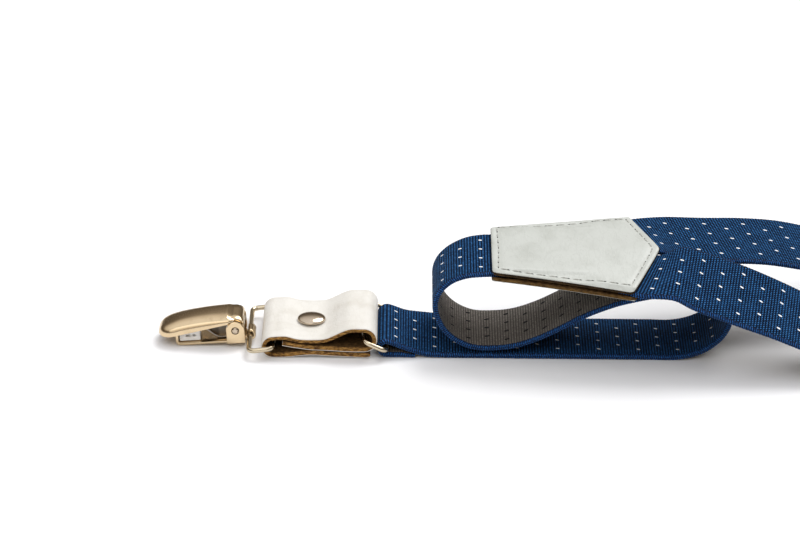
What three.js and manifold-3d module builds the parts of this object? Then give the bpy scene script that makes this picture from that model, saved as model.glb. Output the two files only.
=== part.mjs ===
// Y-back dress suspenders laid out on a table, in millimetres, +Z up.
// The origin is on the table under the leather back patch. The rear strap runs along X, doubled
// back over itself, and its clip points to -X. The two front straps leave the patch towards +X,
// are folded into flat stacks and end in clips that point to +X.
import * as THREE from "three";
import Module from "manifold-3d";

// Webbing
const STRAP_WIDTH = 25;
const STRAP_THICKNESS = 1.6;
const SEWN_END_THICKNESS = 1.0;
const SEWN_END_LENGTH = 8.2; // from the ring, under the rear strap
const END_LOOP_RADIUS = 2.05; // of the middle of the webbing, where it turns round a ring

// Leather
const LEATHER_THICKNESS = 1.4;
const TAB_OVERHANG = 0.8; // of a tab beyond each edge of the webbing
const TAB_WIDTH = STRAP_WIDTH + 2 * TAB_OVERHANG;
const PATCH_LEATHER_THICKNESS = 1.2;
const PATCH_LEFT = -20;
const PATCH_CORNER = 20;
const PATCH_TIP = 8;
const PATCH_MARGIN = 1.7; // of the patch beyond each edge of the rear strap
const PATCH_LEFT_HALF_WIDTH = STRAP_WIDTH / 2 + PATCH_MARGIN;
const PATCH_CORNER_HALF_WIDTH = 21;
const PATCH_HEIGHT = 26.8; // of the webbing inside the patch, above the table
const LAYER_GAP = 0.25; // between two layers that lie on each other

// Rings and wire loops
const RING_WIRE_RADIUS = 0.7;
const LOOP_WIRE_RADIUS = 0.75;
const ARM_CLEARANCE = 0.35; // between a tab's edge and the wire beside it
const WIRE_CORNER_RADIUS = 1.9;
const WIRE_SIDES = 10;

// The tab: one strip wrapped round the ring on one side and the wire loop on the other
const TAB_RING_RADIUS = 3.05; // of the middle of the leather
const TAB_LOOP_RADIUS = 2.7;
const RING_REACH = 6.4; // from the strap's loop to the tab's, along the table
const RING_RISE = 2.95;
const TAB_SPAN = 26; // between the tab's two loops
const TAB_LOOP_HEIGHT = TAB_LOOP_RADIUS + LEATHER_THICKNESS / 2 + 0.05;
const RIVET_TO_RING = 15.3;
const RIVET_CAP_RADIUS = 4.05;
const RIVET_CAP_HEIGHT = 1.4;
const RIVET_POST_RADIUS = 1.5;
const RIVET_FLANGE_RADIUS = 3.2;
const RIVET_FLANGE = 0.5;
const RIVET_CLEARANCE = 0.2;

// Clip
const LOOP_LENGTH = 6.9; // between the bars of the wire loop, along the table
const LOOP_DROP = 0.95;
const CLIP_PITCH = THREE.MathUtils.degToRad(4.4);
const CLIP_OFFSET = -1.0; // the clip lies a little off the middle of its wire loop
const PLATE = 0.8;
const BASE_WIDTH = 10;
const BASE_LENGTH = 20;
const LIP_HEIGHT = 3.5;
const TONGUE_WIDTH = 5;
const CURL_CLEARANCE = 0.2;
const PIN_X = -3.9;
const PIN_Z = 3.1;
const PIN_RADIUS = 1.0;
const PIN_CLEARANCE = 0.15;
const PIN_HEAD = 0.4; // how far the pin stands out of each ear
const EAR_RADIUS = 2.7;
const LID_WIDTH = 12;
const LID_PLATE = 0.7;
const TAIL_RADIUS = 2.6;
const PAD_LENGTH = 6;
const PAD_WIDTH = 8.4;
const PAD_HEIGHT = 1.35;
const JAW_PLATE = 0.6;
const JAW_WIDTH = 7;
const FIT = 0.3; // between parts that nearly touch

// Front strap stacks
const FOLD_RUN = 110;
const FOLD_RADIUS = 2.3;
const FOLDS = 4;
const STACK_LAYER = STRAP_THICKNESS + 0.5; // height between two runs that lie on each other
const WAY_DOWN = 28; // from the stack to where the end is level
const DOUBLED_LENGTH = 48; // of the end that is turned back through the ring
const SLIDER_TO_RING = 30;
const SLIDER_LENGTH = 12;
const SLIDER_PLATE = 0.8;
const SLIDER_SIDE = 1.0;

const wasm = await Module();
wasm.setup();

const finishes = {
  webbing: { color: 0x1c3462, roughness: 0.85, metalness: 0 },
  leather: { color: 0xefece4, roughness: 0.55, metalness: 0 },
  nickel: { color: 0xc9bfb2, roughness: 0.22, metalness: 1 },
  nylon: { color: 0xf1f0ec, roughness: 0.5, metalness: 0 },
};

function piece(name, geometry, finish) {
  const mesh = new THREE.Mesh(geometry, new THREE.MeshStandardMaterial(finishes[finish]));
  mesh.name = name;
  return mesh;
}

const vec = (x, y, z) => new THREE.Vector3(x, y, z);
const radians = THREE.MathUtils.degToRad;

// ---- closed meshes from grids of points ----

function closedMesh(points, faces) {
  let volume = 0;
  for (const [a, b, c] of faces) {
    volume += points[a].dot(points[b].clone().cross(points[c]));
  }
  const outward = volume > 0 ? faces : faces.map(([a, b, c]) => [a, c, b]);
  const geometry = new THREE.BufferGeometry();
  const positions = points.flatMap((p) => [p.x, p.y, p.z]);
  geometry.setAttribute("position", new THREE.Float32BufferAttribute(positions, 3));
  geometry.setIndex(outward.flat());
  return geometry;
}

function quad(faces, a, b, c, d) {
  faces.push([a, b, c], [a, c, d]);
}

// A sheet of even or varying thickness on both sides of a grid of points.
function sheet(grid, thicknessAt) {
  const rows = grid.length;
  const columns = grid[0].length;
  const points = [];
  for (const side of [1, -1]) {
    for (let i = 0; i < rows; i++) {
      for (let j = 0; j < columns; j++) {
        const along = grid[Math.min(i + 1, rows - 1)][j].clone().sub(grid[Math.max(i - 1, 0)][j]);
        const across = grid[i][Math.min(j + 1, columns - 1)].clone();
        across.sub(grid[i][Math.max(j - 1, 0)]);
        const offset = along.cross(across).setLength((side * thicknessAt(i)) / 2);
        points.push(grid[i][j].clone().add(offset));
      }
    }
  }
  const back = rows * columns;
  const faces = [];
  for (let i = 0; i + 1 < rows; i++) {
    for (let j = 0; j + 1 < columns; j++) {
      const a = i * columns + j;
      quad(faces, a, a + columns, a + columns + 1, a + 1);
      quad(faces, back + a, back + a + 1, back + a + columns + 1, back + a + columns);
    }
    const left = i * columns;
    const right = left + columns - 1;
    quad(faces, left, back + left, back + left + columns, left + columns);
    quad(faces, right, right + columns, back + right + columns, back + right);
  }
  for (let j = 0; j + 1 < columns; j++) {
    const end = (rows - 1) * columns + j;
    quad(faces, j, j + 1, back + j + 1, back + j);
    quad(faces, end, back + end, back + end + 1, end + 1);
  }
  return closedMesh(points, faces);
}

// A round wire along a closed loop of points that lie in one plane with the given normal.
function wireLoop(centres, radius, normal) {
  const points = [];
  const count = centres.length;
  centres.forEach((centre, i) => {
    const ahead = centres[(i + 1) % count].clone().sub(centres[(i + count - 1) % count]).normalize();
    const side = ahead.cross(normal).normalize();
    for (let k = 0; k < WIRE_SIDES; k++) {
      const angle = (2 * Math.PI * k) / WIRE_SIDES;
      const offset = side.clone().multiplyScalar(radius * Math.cos(angle));
      offset.addScaledVector(normal, radius * Math.sin(angle));
      points.push(centre.clone().add(offset));
    }
  });
  const faces = [];
  for (let i = 0; i < count; i++) {
    for (let k = 0; k < WIRE_SIDES; k++) {
      const next = ((i + 1) % count) * WIRE_SIDES;
      const turn = (k + 1) % WIRE_SIDES;
      quad(faces, i * WIRE_SIDES + k, i * WIRE_SIDES + turn, next + turn, next + k);
    }
  }
  return closedMesh(points, faces);
}

// The centre line of a wire rectangle with round corners, between two bars that run along Y.
function wireRectangle(barA, barB, halfWidth) {
  const length = barA.distanceTo(barB);
  const along = barB.clone().sub(barA).normalize();
  const middle = barA.clone().add(barB).multiplyScalar(0.5);
  const radius = Math.min(WIRE_CORNER_RADIUS, length / 3);
  const centres = [];
  for (let corner = 0; corner < 4; corner++) {
    const signAlong = corner === 0 || corner === 3 ? 1 : -1;
    const signAcross = corner < 2 ? 1 : -1;
    for (let step = 0; step <= 4; step++) {
      const angle = (Math.PI / 2) * (corner + step / 4);
      const alongCorner = signAlong * (length / 2 - radius) + radius * Math.cos(angle);
      const acrossCorner = signAcross * (halfWidth - radius) + radius * Math.sin(angle);
      const point = middle.clone().addScaledVector(along, alongCorner);
      centres.push(point.add(vec(0, acrossCorner, 0)));
    }
  }
  const normal = along.clone().cross(vec(0, 1, 0));
  return { centres, normal };
}

// ---- extruded outlines and booleans ----

// An outline in X and Z, extruded along Y between two places.
function extrudeY(outline, from, to, holes = []) {
  const points = outline.map(([x, z]) => new THREE.Vector2(x, z));
  const shape = new THREE.Shape(THREE.ShapeUtils.isClockWise(points) ? points.reverse() : points);
  for (const hole of holes) {
    const path = new THREE.Path();
    path.absarc(hole.x, hole.z, hole.radius, 0, 2 * Math.PI, true);
    shape.holes.push(path);
  }
  const options = { depth: to - from, bevelEnabled: false, curveSegments: 12, steps: 1 };
  const geometry = new THREE.ExtrudeGeometry(shape, options);
  geometry.rotateX(Math.PI / 2);
  geometry.translate(0, to, 0);
  return geometry;
}

function arcPoints(x, z, radius, fromDegrees, toDegrees, steps) {
  const points = [];
  for (let i = 0; i <= steps; i++) {
    const angle = radians(fromDegrees + ((toDegrees - fromDegrees) * i) / steps);
    points.push([x + radius * Math.cos(angle), z + radius * Math.sin(angle)]);
  }
  return points;
}

function toSolid(geometry) {
  const source = geometry.attributes.position;
  const order = geometry.index ? Array.from(geometry.index.array) : [...Array(source.count).keys()];
  const seen = new Map();
  const vertices = [];
  const triangles = order.map((i) => {
    const point = [source.getX(i), source.getY(i), source.getZ(i)].map((c) => Math.round(c * 1e5) / 1e5);
    const key = point.join(" ");
    if (!seen.has(key)) {
      seen.set(key, seen.size);
      vertices.push(...point);
    }
    return seen.get(key);
  });
  const kept = [];
  for (let i = 0; i < triangles.length; i += 3) {
    const [a, b, c] = triangles.slice(i, i + 3);
    if (a !== b && b !== c && a !== c) {
      kept.push(a, b, c);
    }
  }
  const mesh = { numProp: 3, vertProperties: new Float32Array(vertices), triVerts: new Uint32Array(kept) };
  return new wasm.Manifold(new wasm.Mesh(mesh));
}

function toGeometry(solid) {
  const mesh = solid.getMesh();
  const geometry = new THREE.BufferGeometry();
  geometry.setAttribute("position", new THREE.BufferAttribute(mesh.vertProperties, 3));
  geometry.setIndex(new THREE.BufferAttribute(mesh.triVerts, 1));
  return geometry;
}

const join = (geometries) => toGeometry(geometries.map(toSolid).reduce((a, b) => a.add(b)));
const cut = (body, tool) => toGeometry(toSolid(body).subtract(toSolid(tool)));

function box(lowX, highX, lowY, highY, lowZ, highZ) {
  const geometry = new THREE.BoxGeometry(highX - lowX, highY - lowY, highZ - lowZ);
  geometry.translate((lowX + highX) / 2, (lowY + highY) / 2, (lowZ + highZ) / 2);
  return geometry;
}

// ---- the surface that the patch and the webbing in it follow ----

const PATCH_LENGTH = PATCH_CORNER + PATCH_TIP - PATCH_LEFT;
const NEAR_SLOPE = [0.005, 0.215]; // at the rear strap's end and at the tip
const FAR_SLOPE = [0.085, 0.045];
const RIDGE_SOFTNESS = 1.5;

function patchHeight(x, y) {
  const along = THREE.MathUtils.clamp((x - PATCH_LEFT) / PATCH_LENGTH, 0, 1);
  const nearSide = (Math.hypot(y, RIDGE_SOFTNESS) - y - RIDGE_SOFTNESS) / 2;
  const farSide = (Math.hypot(y, RIDGE_SOFTNESS) + y - RIDGE_SOFTNESS) / 2;
  const ridge = PATCH_HEIGHT + 0.8 * along;
  const near = THREE.MathUtils.lerp(...NEAR_SLOPE, along) * nearSide;
  return ridge - near + THREE.MathUtils.lerp(...FAR_SLOPE, along) * farSide;
}

function patchLeather(name, side) {
  const rows = 14;
  const columns = 12;
  const offset = side * (STRAP_THICKNESS / 2 + LAYER_GAP + PATCH_LEATHER_THICKNESS / 2);
  const grid = [];
  for (let i = 0; i <= rows; i++) {
    const row = [];
    for (let j = 0; j <= columns; j++) {
      const across = 1 - (2 * j) / columns;
      const end = PATCH_CORNER + PATCH_TIP * (1 - Math.abs(across));
      const x = THREE.MathUtils.lerp(PATCH_LEFT, end, i / rows);
      const half = THREE.MathUtils.lerp(PATCH_LEFT_HALF_WIDTH, PATCH_CORNER_HALF_WIDTH, i / rows);
      const y = across * half;
      row.push(vec(x, y, patchHeight(x, y) + offset));
    }
    grid.push(row);
  }
  return piece(name, sheet(grid, () => PATCH_LEATHER_THICKNESS), "leather");
}

// ---- webbing ----

const COLUMNS = [1, 0, -1];
const REAR_LOOP_X = -49.6;
const LOW = STRAP_THICKNESS / 2;
const LOOP_Z = LOW + END_LOOP_RADIUS;

// The half turn of webbing round a ring, from its lower layer to its upper one.
function endLoop(x, facing) {
  const points = [];
  for (let i = 0; i <= 8; i++) {
    const angle = (Math.PI * i) / 8;
    const reach = facing * END_LOOP_RADIUS * Math.sin(angle);
    points.push([x + reach, LOOP_Z - END_LOOP_RADIUS * Math.cos(angle)]);
  }
  return points;
}

function smooth(points, perSegment) {
  const curve = new THREE.CatmullRomCurve3(points, false, "centripetal");
  return curve.getPoints(perSegment * (points.length - 1));
}

function rearStrap() {
  const sewnEnd = REAR_LOOP_X + SEWN_END_LENGTH;
  const route = [
    [sewnEnd, SEWN_END_THICKNESS / 2],
    [sewnEnd - 2.2, 0.65],
    [sewnEnd - 4.4, LOW],
    ...endLoop(REAR_LOOP_X, -1),
    [REAR_LOOP_X + 4.6, 3.25],
    [REAR_LOOP_X + 7.2, 2.25],
    [REAR_LOOP_X + 10.6, 1.2],
    [-34.5, LOW],
    [-20, LOW],
    [10, LOW],
    [26, LOW],
    [33, LOW],
    [38.4, 2.0],
    [42.6, 4.2],
    [46.2, 7.8],
    [48.0, 12.0],
    [47.4, 16.0],
    [44.6, 19.2],
    [40.2, 20.8],
    [34.5, 21.0],
    [28, 20.2],
    [21.5, 18.9],
    [14.8, 17.0],
    [6.2, 13.3],
    [-0.4, 9.5],
    [-6.6, 6.3],
    [-13.1, 4.0],
    [-19.6, 3.2],
    [-25.2, 3.55],
    [-30.6, 6.2],
    [-34.1, 10.2],
    [-35.9, 15.9],
    [-34.9, 20.2],
    [-31.9, 23.6],
    [-27.3, 25.9],
    [-22.5, 26.7],
    [PATCH_LEFT + 2, PATCH_HEIGHT],
  ];
  const centre = smooth(route.map(([x, z]) => vec(x, 0, z)), 3);
  const tailRows = 6;
  const patchEnd = -2;
  const last = centre[centre.length - 1];
  for (let i = 1; i <= 4; i++) {
    const x = THREE.MathUtils.lerp(last.x, patchEnd, i / 4);
    centre.push(vec(x, 0, patchHeight(x, 0)));
  }
  const firstTopRow = centre.findIndex((p) => p.z > 22 && p.x < -30);
  const grid = centre.map((p, i) => {
    const blend = i < firstTopRow ? 0 : THREE.MathUtils.smoothstep(p.x, -34, PATCH_LEFT - 2);
    return COLUMNS.map((across) => {
      const y = (across * STRAP_WIDTH) / 2;
      const lift = (patchHeight(p.x, y) - patchHeight(p.x, 0)) * blend;
      return vec(p.x, y, p.z + lift);
    });
  });
  const thicknessAt = (i) =>
    THREE.MathUtils.lerp(SEWN_END_THICKNESS, STRAP_THICKNESS, Math.min(i / tailRows, 1));
  return piece("rear_strap", sheet(grid, thicknessAt), "webbing");
}

// Each front strap: where its sewn end lies in the patch, and its way down to the table as places
// half a strap inside its middle line, with the turn of its width about Z and its roll towards the
// near side.
const FRONT = {
  left: {
    outward: 1,
    inside: [
      [vec(15.5, 18.8, 0), vec(23, 0.8, 0)],
      [vec(21.6, 21.6, 0), vec(28.7, 0.8, 0)],
    ],
    places: [
      [vec(33.6, 1, 25.9), 15, 9],
      [vec(44.7, 3.3, 25.1), 14, 7],
      [vec(56.2, 5.9, 23.9), 13.5, 4.5],
      [vec(67.7, 8.6, 21.6), 13, 4],
      [vec(82, 11.8, 17.2), 13, 3],
      [vec(97, 15, 11.4), 12, 2],
      [vec(111, 17.8, 6.2), 11, 1],
      [vec(124, 20.3, 2.7), 11, 0],
      [vec(136, 22.6, 1.1), 11, 0],
    ],
    stack: vec(147, 24.7, 0),
    yaw: 11,
  },
  right: {
    outward: -1,
    inside: [
      [vec(23, -0.8, 0), vec(15.5, -18.8, 0)],
      [vec(28.7, -0.8, 0), vec(21.8, -20.6, 0)],
    ],
    places: [
      [vec(33.2, 3, 26.3), -9.5, 10],
      [vec(38.7, 2.6, 24.7), -10, 12],
      [vec(50, 1.2, 20.9), -9.5, 14.5],
      [vec(61.6, -0.1, 16.2), -9, 14.5],
      [vec(75, -1.5, 10.6), -8.5, 11],
      [vec(89, -3.1, 5.4), -8, 5],
      [vec(103, -4.7, 2.2), -8, 1],
      [vec(117, -6.6, 1.0), -8, 0],
    ],
    stack: vec(147, -10.8, 0),
    yaw: -8,
  },
};

// Heights of the webbing's middle where it passes through the slider.
const LEVEL_LOW = SLIDER_PLATE + FIT + LOW;
const LEVEL_HIGH = LEVEL_LOW + STACK_LAYER;
const LEFT_TURN = FOLD_RADIUS + LOW;
const LEVEL_START = FOLD_RUN + WAY_DOWN;
const LOOP_AT = LEVEL_START + DOUBLED_LENGTH + 4;
const SLIDER_AT = LOOP_AT - SLIDER_TO_RING;
const LEVEL_END = LOOP_AT - 12;

// The folds, the way down and the doubled end, as distances along the stack and heights.
function stackRoute() {
  let left = LOW;
  let right = LOW;
  const route = [
    [0, LOW],
    [FOLD_RUN / 2, LOW],
  ];
  for (let fold = 0; fold < FOLDS; fold++) {
    const atRight = fold % 2 === 0;
    const facing = atRight ? 1 : -1;
    const at = atRight ? FOLD_RUN : LEFT_TURN;
    const bottom = atRight ? right : left;
    for (let step = 0; step <= 6; step++) {
      const angle = (Math.PI * step) / 6;
      const rise = FOLD_RADIUS * (1 - Math.cos(angle));
      route.push([at + facing * FOLD_RADIUS * Math.sin(angle), bottom + rise]);
    }
    left += atRight ? STACK_LAYER : 2 * FOLD_RADIUS;
    right += atRight ? 2 * FOLD_RADIUS : STACK_LAYER;
    route.push([FOLD_RUN / 2, (left + right) / 2]);
  }
  const drop = right - LEVEL_HIGH;
  for (const [share, reach] of [[1, 0], [0.9, 0.21], [0.62, 0.43], [0.3, 0.61], [0.08, 0.79], [0, 1]]) {
    route.push([FOLD_RUN + WAY_DOWN * reach, LEVEL_HIGH + drop * share]);
  }
  route.push([LEVEL_END, LEVEL_HIGH], [LOOP_AT - 5, LOOP_Z + END_LOOP_RADIUS - 0.2]);
  route.push(...endLoop(LOOP_AT, 1).reverse());
  route.push([LOOP_AT - 5, LOW + 0.2], [LEVEL_END, LEVEL_LOW]);
  route.push([LOOP_AT - DOUBLED_LENGTH, LEVEL_LOW]);
  return route;
}

function movedOut(side, point) {
  return point.clone().add(vec(0, (FRONT[side].outward * STRAP_WIDTH) / 2, 0));
}

function stackPlace(side, distance, height) {
  const { stack, yaw } = FRONT[side];
  const turn = radians(yaw);
  const start = movedOut(side, stack);
  return vec(start.x + distance * Math.cos(turn), start.y + distance * Math.sin(turn), height);
}

function frontStrap(side) {
  const { inside, places, yaw } = FRONT[side];
  const far = [];
  const near = [];
  for (const [a, b] of inside) {
    far.push(vec(a.x, a.y, patchHeight(a.x, a.y)));
    near.push(vec(b.x, b.y, patchHeight(b.x, b.y)));
  }
  const flat = stackRoute().map(([distance, height]) => [stackPlace(side, distance, height), yaw, 0]);
  const way = places.map(([place, ...turns]) => [movedOut(side, place), ...turns]);
  for (const [centre, turnDegrees, rollDegrees] of [...way, ...flat]) {
    const turn = radians(turnDegrees);
    const roll = radians(rollDegrees);
    const width = vec(-Math.sin(turn) * Math.cos(roll), Math.cos(turn) * Math.cos(roll), Math.sin(roll));
    far.push(centre.clone().addScaledVector(width, STRAP_WIDTH / 2));
    near.push(centre.clone().addScaledVector(width, -STRAP_WIDTH / 2));
  }
  const farEdge = smooth(far, 2);
  const grid = smooth(near, 2).map((point, i) => {
    const middle = farEdge[i].clone().add(point).multiplyScalar(0.5);
    return [farEdge[i], middle, point];
  });
  return piece(`front_strap_${side}`, sheet(grid, () => STRAP_THICKNESS), "webbing");
}

// The adjuster: a flat metal band round both layers of the doubled end.
function slider(side) {
  const halfInside = STRAP_WIDTH / 2 + FIT;
  const half = halfInside + SLIDER_SIDE;
  const roof = LEVEL_HIGH + LOW + FIT;
  const outer = box(-SLIDER_LENGTH / 2, SLIDER_LENGTH / 2, -half, half, 0, roof + SLIDER_PLATE);
  const reach = SLIDER_LENGTH / 2 + 1;
  const inner = box(-reach, reach, -halfInside, halfInside, SLIDER_PLATE, roof);
  const mesh = piece(`slider_${side}`, cut(outer, inner), "nickel");
  mesh.position.copy(stackPlace(side, SLIDER_AT, 0));
  mesh.rotation.z = radians(FRONT[side].yaw);
  return mesh;
}

// ---- ring, tab, wire loop and clip, from the strap's end loop towards -X ----

const RING_BAR = vec(0, 0, LOOP_Z);
const TAB_RING_BAR = vec(-RING_REACH, 0, LOOP_Z + RING_RISE);
const TAB_LOOP_BAR = vec(-RING_REACH - TAB_SPAN, 0, TAB_LOOP_HEIGHT);
const CLIP_BAR = vec(TAB_LOOP_BAR.x - LOOP_LENGTH, 0, TAB_LOOP_BAR.z - LOOP_DROP);
const RIVET_X = TAB_RING_BAR.x - RIVET_TO_RING;

// Heights of the middles of the tab's three layers at the rivet.
const TAB_BOTTOM = RIVET_FLANGE + FIT + LEATHER_THICKNESS / 2 + 0.1;
const TAB_INNER = TAB_BOTTOM + LEATHER_THICKNESS + LAYER_GAP;
const TAB_TOP = TAB_INNER + LEATHER_THICKNESS + LAYER_GAP;

function strapRing(name) {
  const half = TAB_WIDTH / 2 + ARM_CLEARANCE + RING_WIRE_RADIUS;
  const { centres, normal } = wireRectangle(TAB_RING_BAR, RING_BAR, half);
  return piece(name, wireLoop(centres, RING_WIRE_RADIUS, normal), "nickel");
}

function clipLoop(name) {
  const half = TAB_WIDTH / 2 + ARM_CLEARANCE + LOOP_WIRE_RADIUS;
  const { centres, normal } = wireRectangle(CLIP_BAR, TAB_LOOP_BAR, half);
  return piece(name, wireLoop(centres, LOOP_WIRE_RADIUS, normal), "nickel");
}

// The strip starts between the two outer layers, goes round the ring, back over the top, round
// the wire loop and ends underneath. The rivet pinches the three layers together.
function leatherTab(name) {
  const ringX = TAB_RING_BAR.x;
  const loopX = TAB_LOOP_BAR.x;
  const route = [
    [loopX + 2.7, TAB_INNER + 1.2],
    [loopX + 6.5, TAB_INNER + 0.55],
    [RIVET_X, TAB_INNER],
    [RIVET_X + 5, TAB_INNER - 0.2],
    [ringX - 5, TAB_INNER - 0.5],
    ...arcPoints(ringX, TAB_RING_BAR.z, TAB_RING_RADIUS, -90, 90, 10),
    [ringX - 4.0, TAB_TOP + 3.45],
    [ringX - 6.6, TAB_TOP + 2.4],
    [ringX - 9.0, TAB_TOP + 1.15],
    [ringX - 11.2, TAB_TOP + 0.25],
    [RIVET_X, TAB_TOP],
    [RIVET_X - 4.1, TAB_TOP + 0.2],
    [loopX + 3.1, TAB_TOP + 1.15],
    ...arcPoints(loopX, TAB_LOOP_BAR.z, TAB_LOOP_RADIUS, 90, 270, 10),
    [loopX + 3.5, TAB_BOTTOM - 0.75],
    [loopX + 7, TAB_BOTTOM - 0.35],
    [RIVET_X, TAB_BOTTOM],
    [RIVET_X + 4.8, TAB_BOTTOM - 0.2],
    [ringX - 5, TAB_BOTTOM - 0.45],
    [ringX + 0.2, TAB_BOTTOM - 0.65],
    [ringX + 1.8, TAB_BOTTOM - 0.6],
  ];
  const grid = smooth(route.map(([x, z]) => vec(x, 0, z)), 2).map((p) =>
    [1, -1].map((across) => vec(p.x, (across * TAB_WIDTH) / 2, p.z)),
  );
  const strip = sheet(grid, () => LEATHER_THICKNESS);
  const holeRadius = RIVET_POST_RADIUS + RIVET_CLEARANCE;
  const hole = new THREE.CylinderGeometry(holeRadius, holeRadius, 4 * TAB_INNER, 16);
  hole.rotateX(Math.PI / 2);
  hole.translate(RIVET_X, 0, TAB_INNER);
  return piece(name, cut(strip, hole), "leather");
}

const RIVET_TOP = TAB_TOP + LEATHER_THICKNESS / 2 + 1.4 * FIT;
const RIVET_BOTTOM = TAB_BOTTOM - LEATHER_THICKNESS / 2 - FIT;

function rivetCap(name) {
  const profile = [new THREE.Vector2(0, 0), new THREE.Vector2(RIVET_CAP_RADIUS, 0)];
  for (let i = 0; i <= 5; i++) {
    const angle = (Math.PI / 2) * (i / 5);
    const rise = RIVET_CAP_HEIGHT * (0.25 + 0.75 * Math.sin(angle));
    profile.push(new THREE.Vector2(RIVET_CAP_RADIUS * Math.cos(angle), rise));
  }
  const dome = new THREE.LatheGeometry(profile, 24);
  dome.rotateX(Math.PI / 2);
  dome.translate(RIVET_X, 0, RIVET_TOP);
  return piece(name, dome, "nickel");
}

function rivetPost(name) {
  const profile = [
    [0, RIVET_BOTTOM - RIVET_FLANGE],
    [RIVET_FLANGE_RADIUS, RIVET_BOTTOM - RIVET_FLANGE],
    [RIVET_FLANGE_RADIUS, RIVET_BOTTOM],
    [RIVET_POST_RADIUS, RIVET_BOTTOM],
    [RIVET_POST_RADIUS, RIVET_TOP - FIT],
    [0, RIVET_TOP - FIT],
  ].map(([radius, height]) => new THREE.Vector2(radius, height));
  const post = new THREE.LatheGeometry(profile, 20);
  post.rotateX(Math.PI / 2);
  post.translate(RIVET_X, 0, 0);
  return piece(name, post, "nickel");
}

// The clip's own frame has its origin in the middle of the wire loop's bar and is level.
const BASE_BOTTOM = -PLATE - 0.1;
const BASE_TOP = -0.1;
const CURL_INNER = LOOP_WIRE_RADIUS + CURL_CLEARANCE;
const CURL_OUTER = CURL_INNER + PLATE - 0.1;
const BASE_BACK = -CURL_INNER - 0.3;
const BASE_FRONT = BASE_BACK - BASE_LENGTH;
const EAR_INSIDE = BASE_WIDTH / 2;
const JAW_BACK = PIN_X - TAIL_RADIUS - FIT;

function clipBase(name) {
  const plate = [
    [BASE_FRONT, BASE_BOTTOM],
    [BASE_BACK, BASE_BOTTOM],
    [BASE_BACK, BASE_TOP],
    [BASE_FRONT + PLATE, BASE_TOP],
    [BASE_FRONT + PLATE, BASE_BOTTOM + LIP_HEIGHT],
    [BASE_FRONT, BASE_BOTTOM + LIP_HEIGHT],
  ];
  const ear = [
    [PIN_X - EAR_RADIUS, BASE_BOTTOM],
    [PIN_X + EAR_RADIUS, BASE_BOTTOM],
    ...arcPoints(PIN_X, PIN_Z, EAR_RADIUS, 0, 180, 12),
  ];
  const pinHole = [{ x: PIN_X, z: PIN_Z, radius: PIN_RADIUS + PIN_CLEARANCE }];
  const curl = [
    ...arcPoints(0, 0, CURL_OUTER, 200, 450, 18),
    ...arcPoints(0, 0, CURL_INNER, 450, 200, 18),
  ];
  const half = TONGUE_WIDTH / 2;
  const link = box(BASE_BACK - 1, -CURL_INNER + 0.02, -half, half, BASE_BOTTOM, -0.35);
  return piece(name, join([
    extrudeY(plate, -BASE_WIDTH / 2, BASE_WIDTH / 2),
    extrudeY(ear, -EAR_INSIDE - PLATE, -EAR_INSIDE, pinHole),
    extrudeY(ear, EAR_INSIDE, EAR_INSIDE + PLATE, pinHole),
    box(PIN_X - EAR_RADIUS, PIN_X + EAR_RADIUS, -EAR_INSIDE - PLATE / 2, EAR_INSIDE + PLATE / 2,
      BASE_BOTTOM, BASE_TOP),
    extrudeY(curl, -half, half),
    link,
  ]), "nickel");
}

function clipPin(name) {
  const length = 2 * (EAR_INSIDE + PLATE + PIN_HEAD);
  const pin = new THREE.CylinderGeometry(PIN_RADIUS, PIN_RADIUS, length, 16);
  pin.translate(PIN_X, 0, PIN_Z);
  return piece(name, pin, "nickel");
}

const PAD_FRONT = BASE_FRONT + PLATE + FIT;
const LOWER_PAD_TOP = BASE_TOP + FIT + PAD_HEIGHT;
const UPPER_PAD_TOP = LOWER_PAD_TOP + FIT + PAD_HEIGHT;
const JAW_TOP = UPPER_PAD_TOP + FIT + JAW_PLATE;

function clipPad(name, bottom) {
  const half = PAD_WIDTH / 2;
  const pad = box(PAD_FRONT, PAD_FRONT + PAD_LENGTH, -half, half, bottom, bottom + PAD_HEIGHT);
  return piece(name, pad, "nylon");
}

function springJaw(name) {
  const shoulder = PAD_FRONT + PAD_LENGTH + 1.2;
  const foot = BASE_TOP + FIT;
  const outline = [
    [PAD_FRONT, JAW_TOP - JAW_PLATE],
    [shoulder - 0.2, JAW_TOP - JAW_PLATE],
    [JAW_BACK - 2.4, foot],
    [JAW_BACK, foot],
    [JAW_BACK, foot + JAW_PLATE],
    [JAW_BACK - 2.1, foot + JAW_PLATE],
    [shoulder + 0.1, JAW_TOP],
    [PAD_FRONT, JAW_TOP],
  ];
  return piece(name, extrudeY(outline, -JAW_WIDTH / 2, JAW_WIDTH / 2), "nickel");
}

// The lid: a domed cover with cheeks on the pin and a tail that turns down behind it.
const LID_TOP = [
  [-26.1, 1.9],
  [-25.6, 3.0],
  [-24.2, 4.4],
  [-21.2, 5.7],
  [-17, 6.6],
  [-12, 7.15],
  [-6.2, 7.35],
  [-3.4, 7.1],
];
const LID_RIM_SLOPE = 0.17;

function lidShell() {
  const inner = LID_TOP.map(([x, z], i) => [x + Math.max(LID_PLATE - 0.3 * i, 0), z - LID_PLATE]);
  inner[0] = [LID_TOP[0][0] + LID_PLATE, LID_TOP[0][1]];
  const roof = [...LID_TOP, ...inner.reverse()];
  const half = LID_WIDTH / 2;
  const rimAt = (x) => LID_TOP[0][1] + LID_RIM_SLOPE * (x - LID_TOP[0][0]);
  const wallBack = PIN_X - EAR_RADIUS - 2 * FIT;
  const wall = [
    ...LID_TOP.filter(([x]) => x < wallBack).map(([x, z]) => [x + 0.1, z - 0.1]),
    [wallBack, 7.1],
    [wallBack, rimAt(wallBack)],
  ];
  return [
    extrudeY(roof, -half, half),
    extrudeY(wall, -half, -half + LID_PLATE),
    extrudeY(wall, half - LID_PLATE, half),
  ];
}

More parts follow.
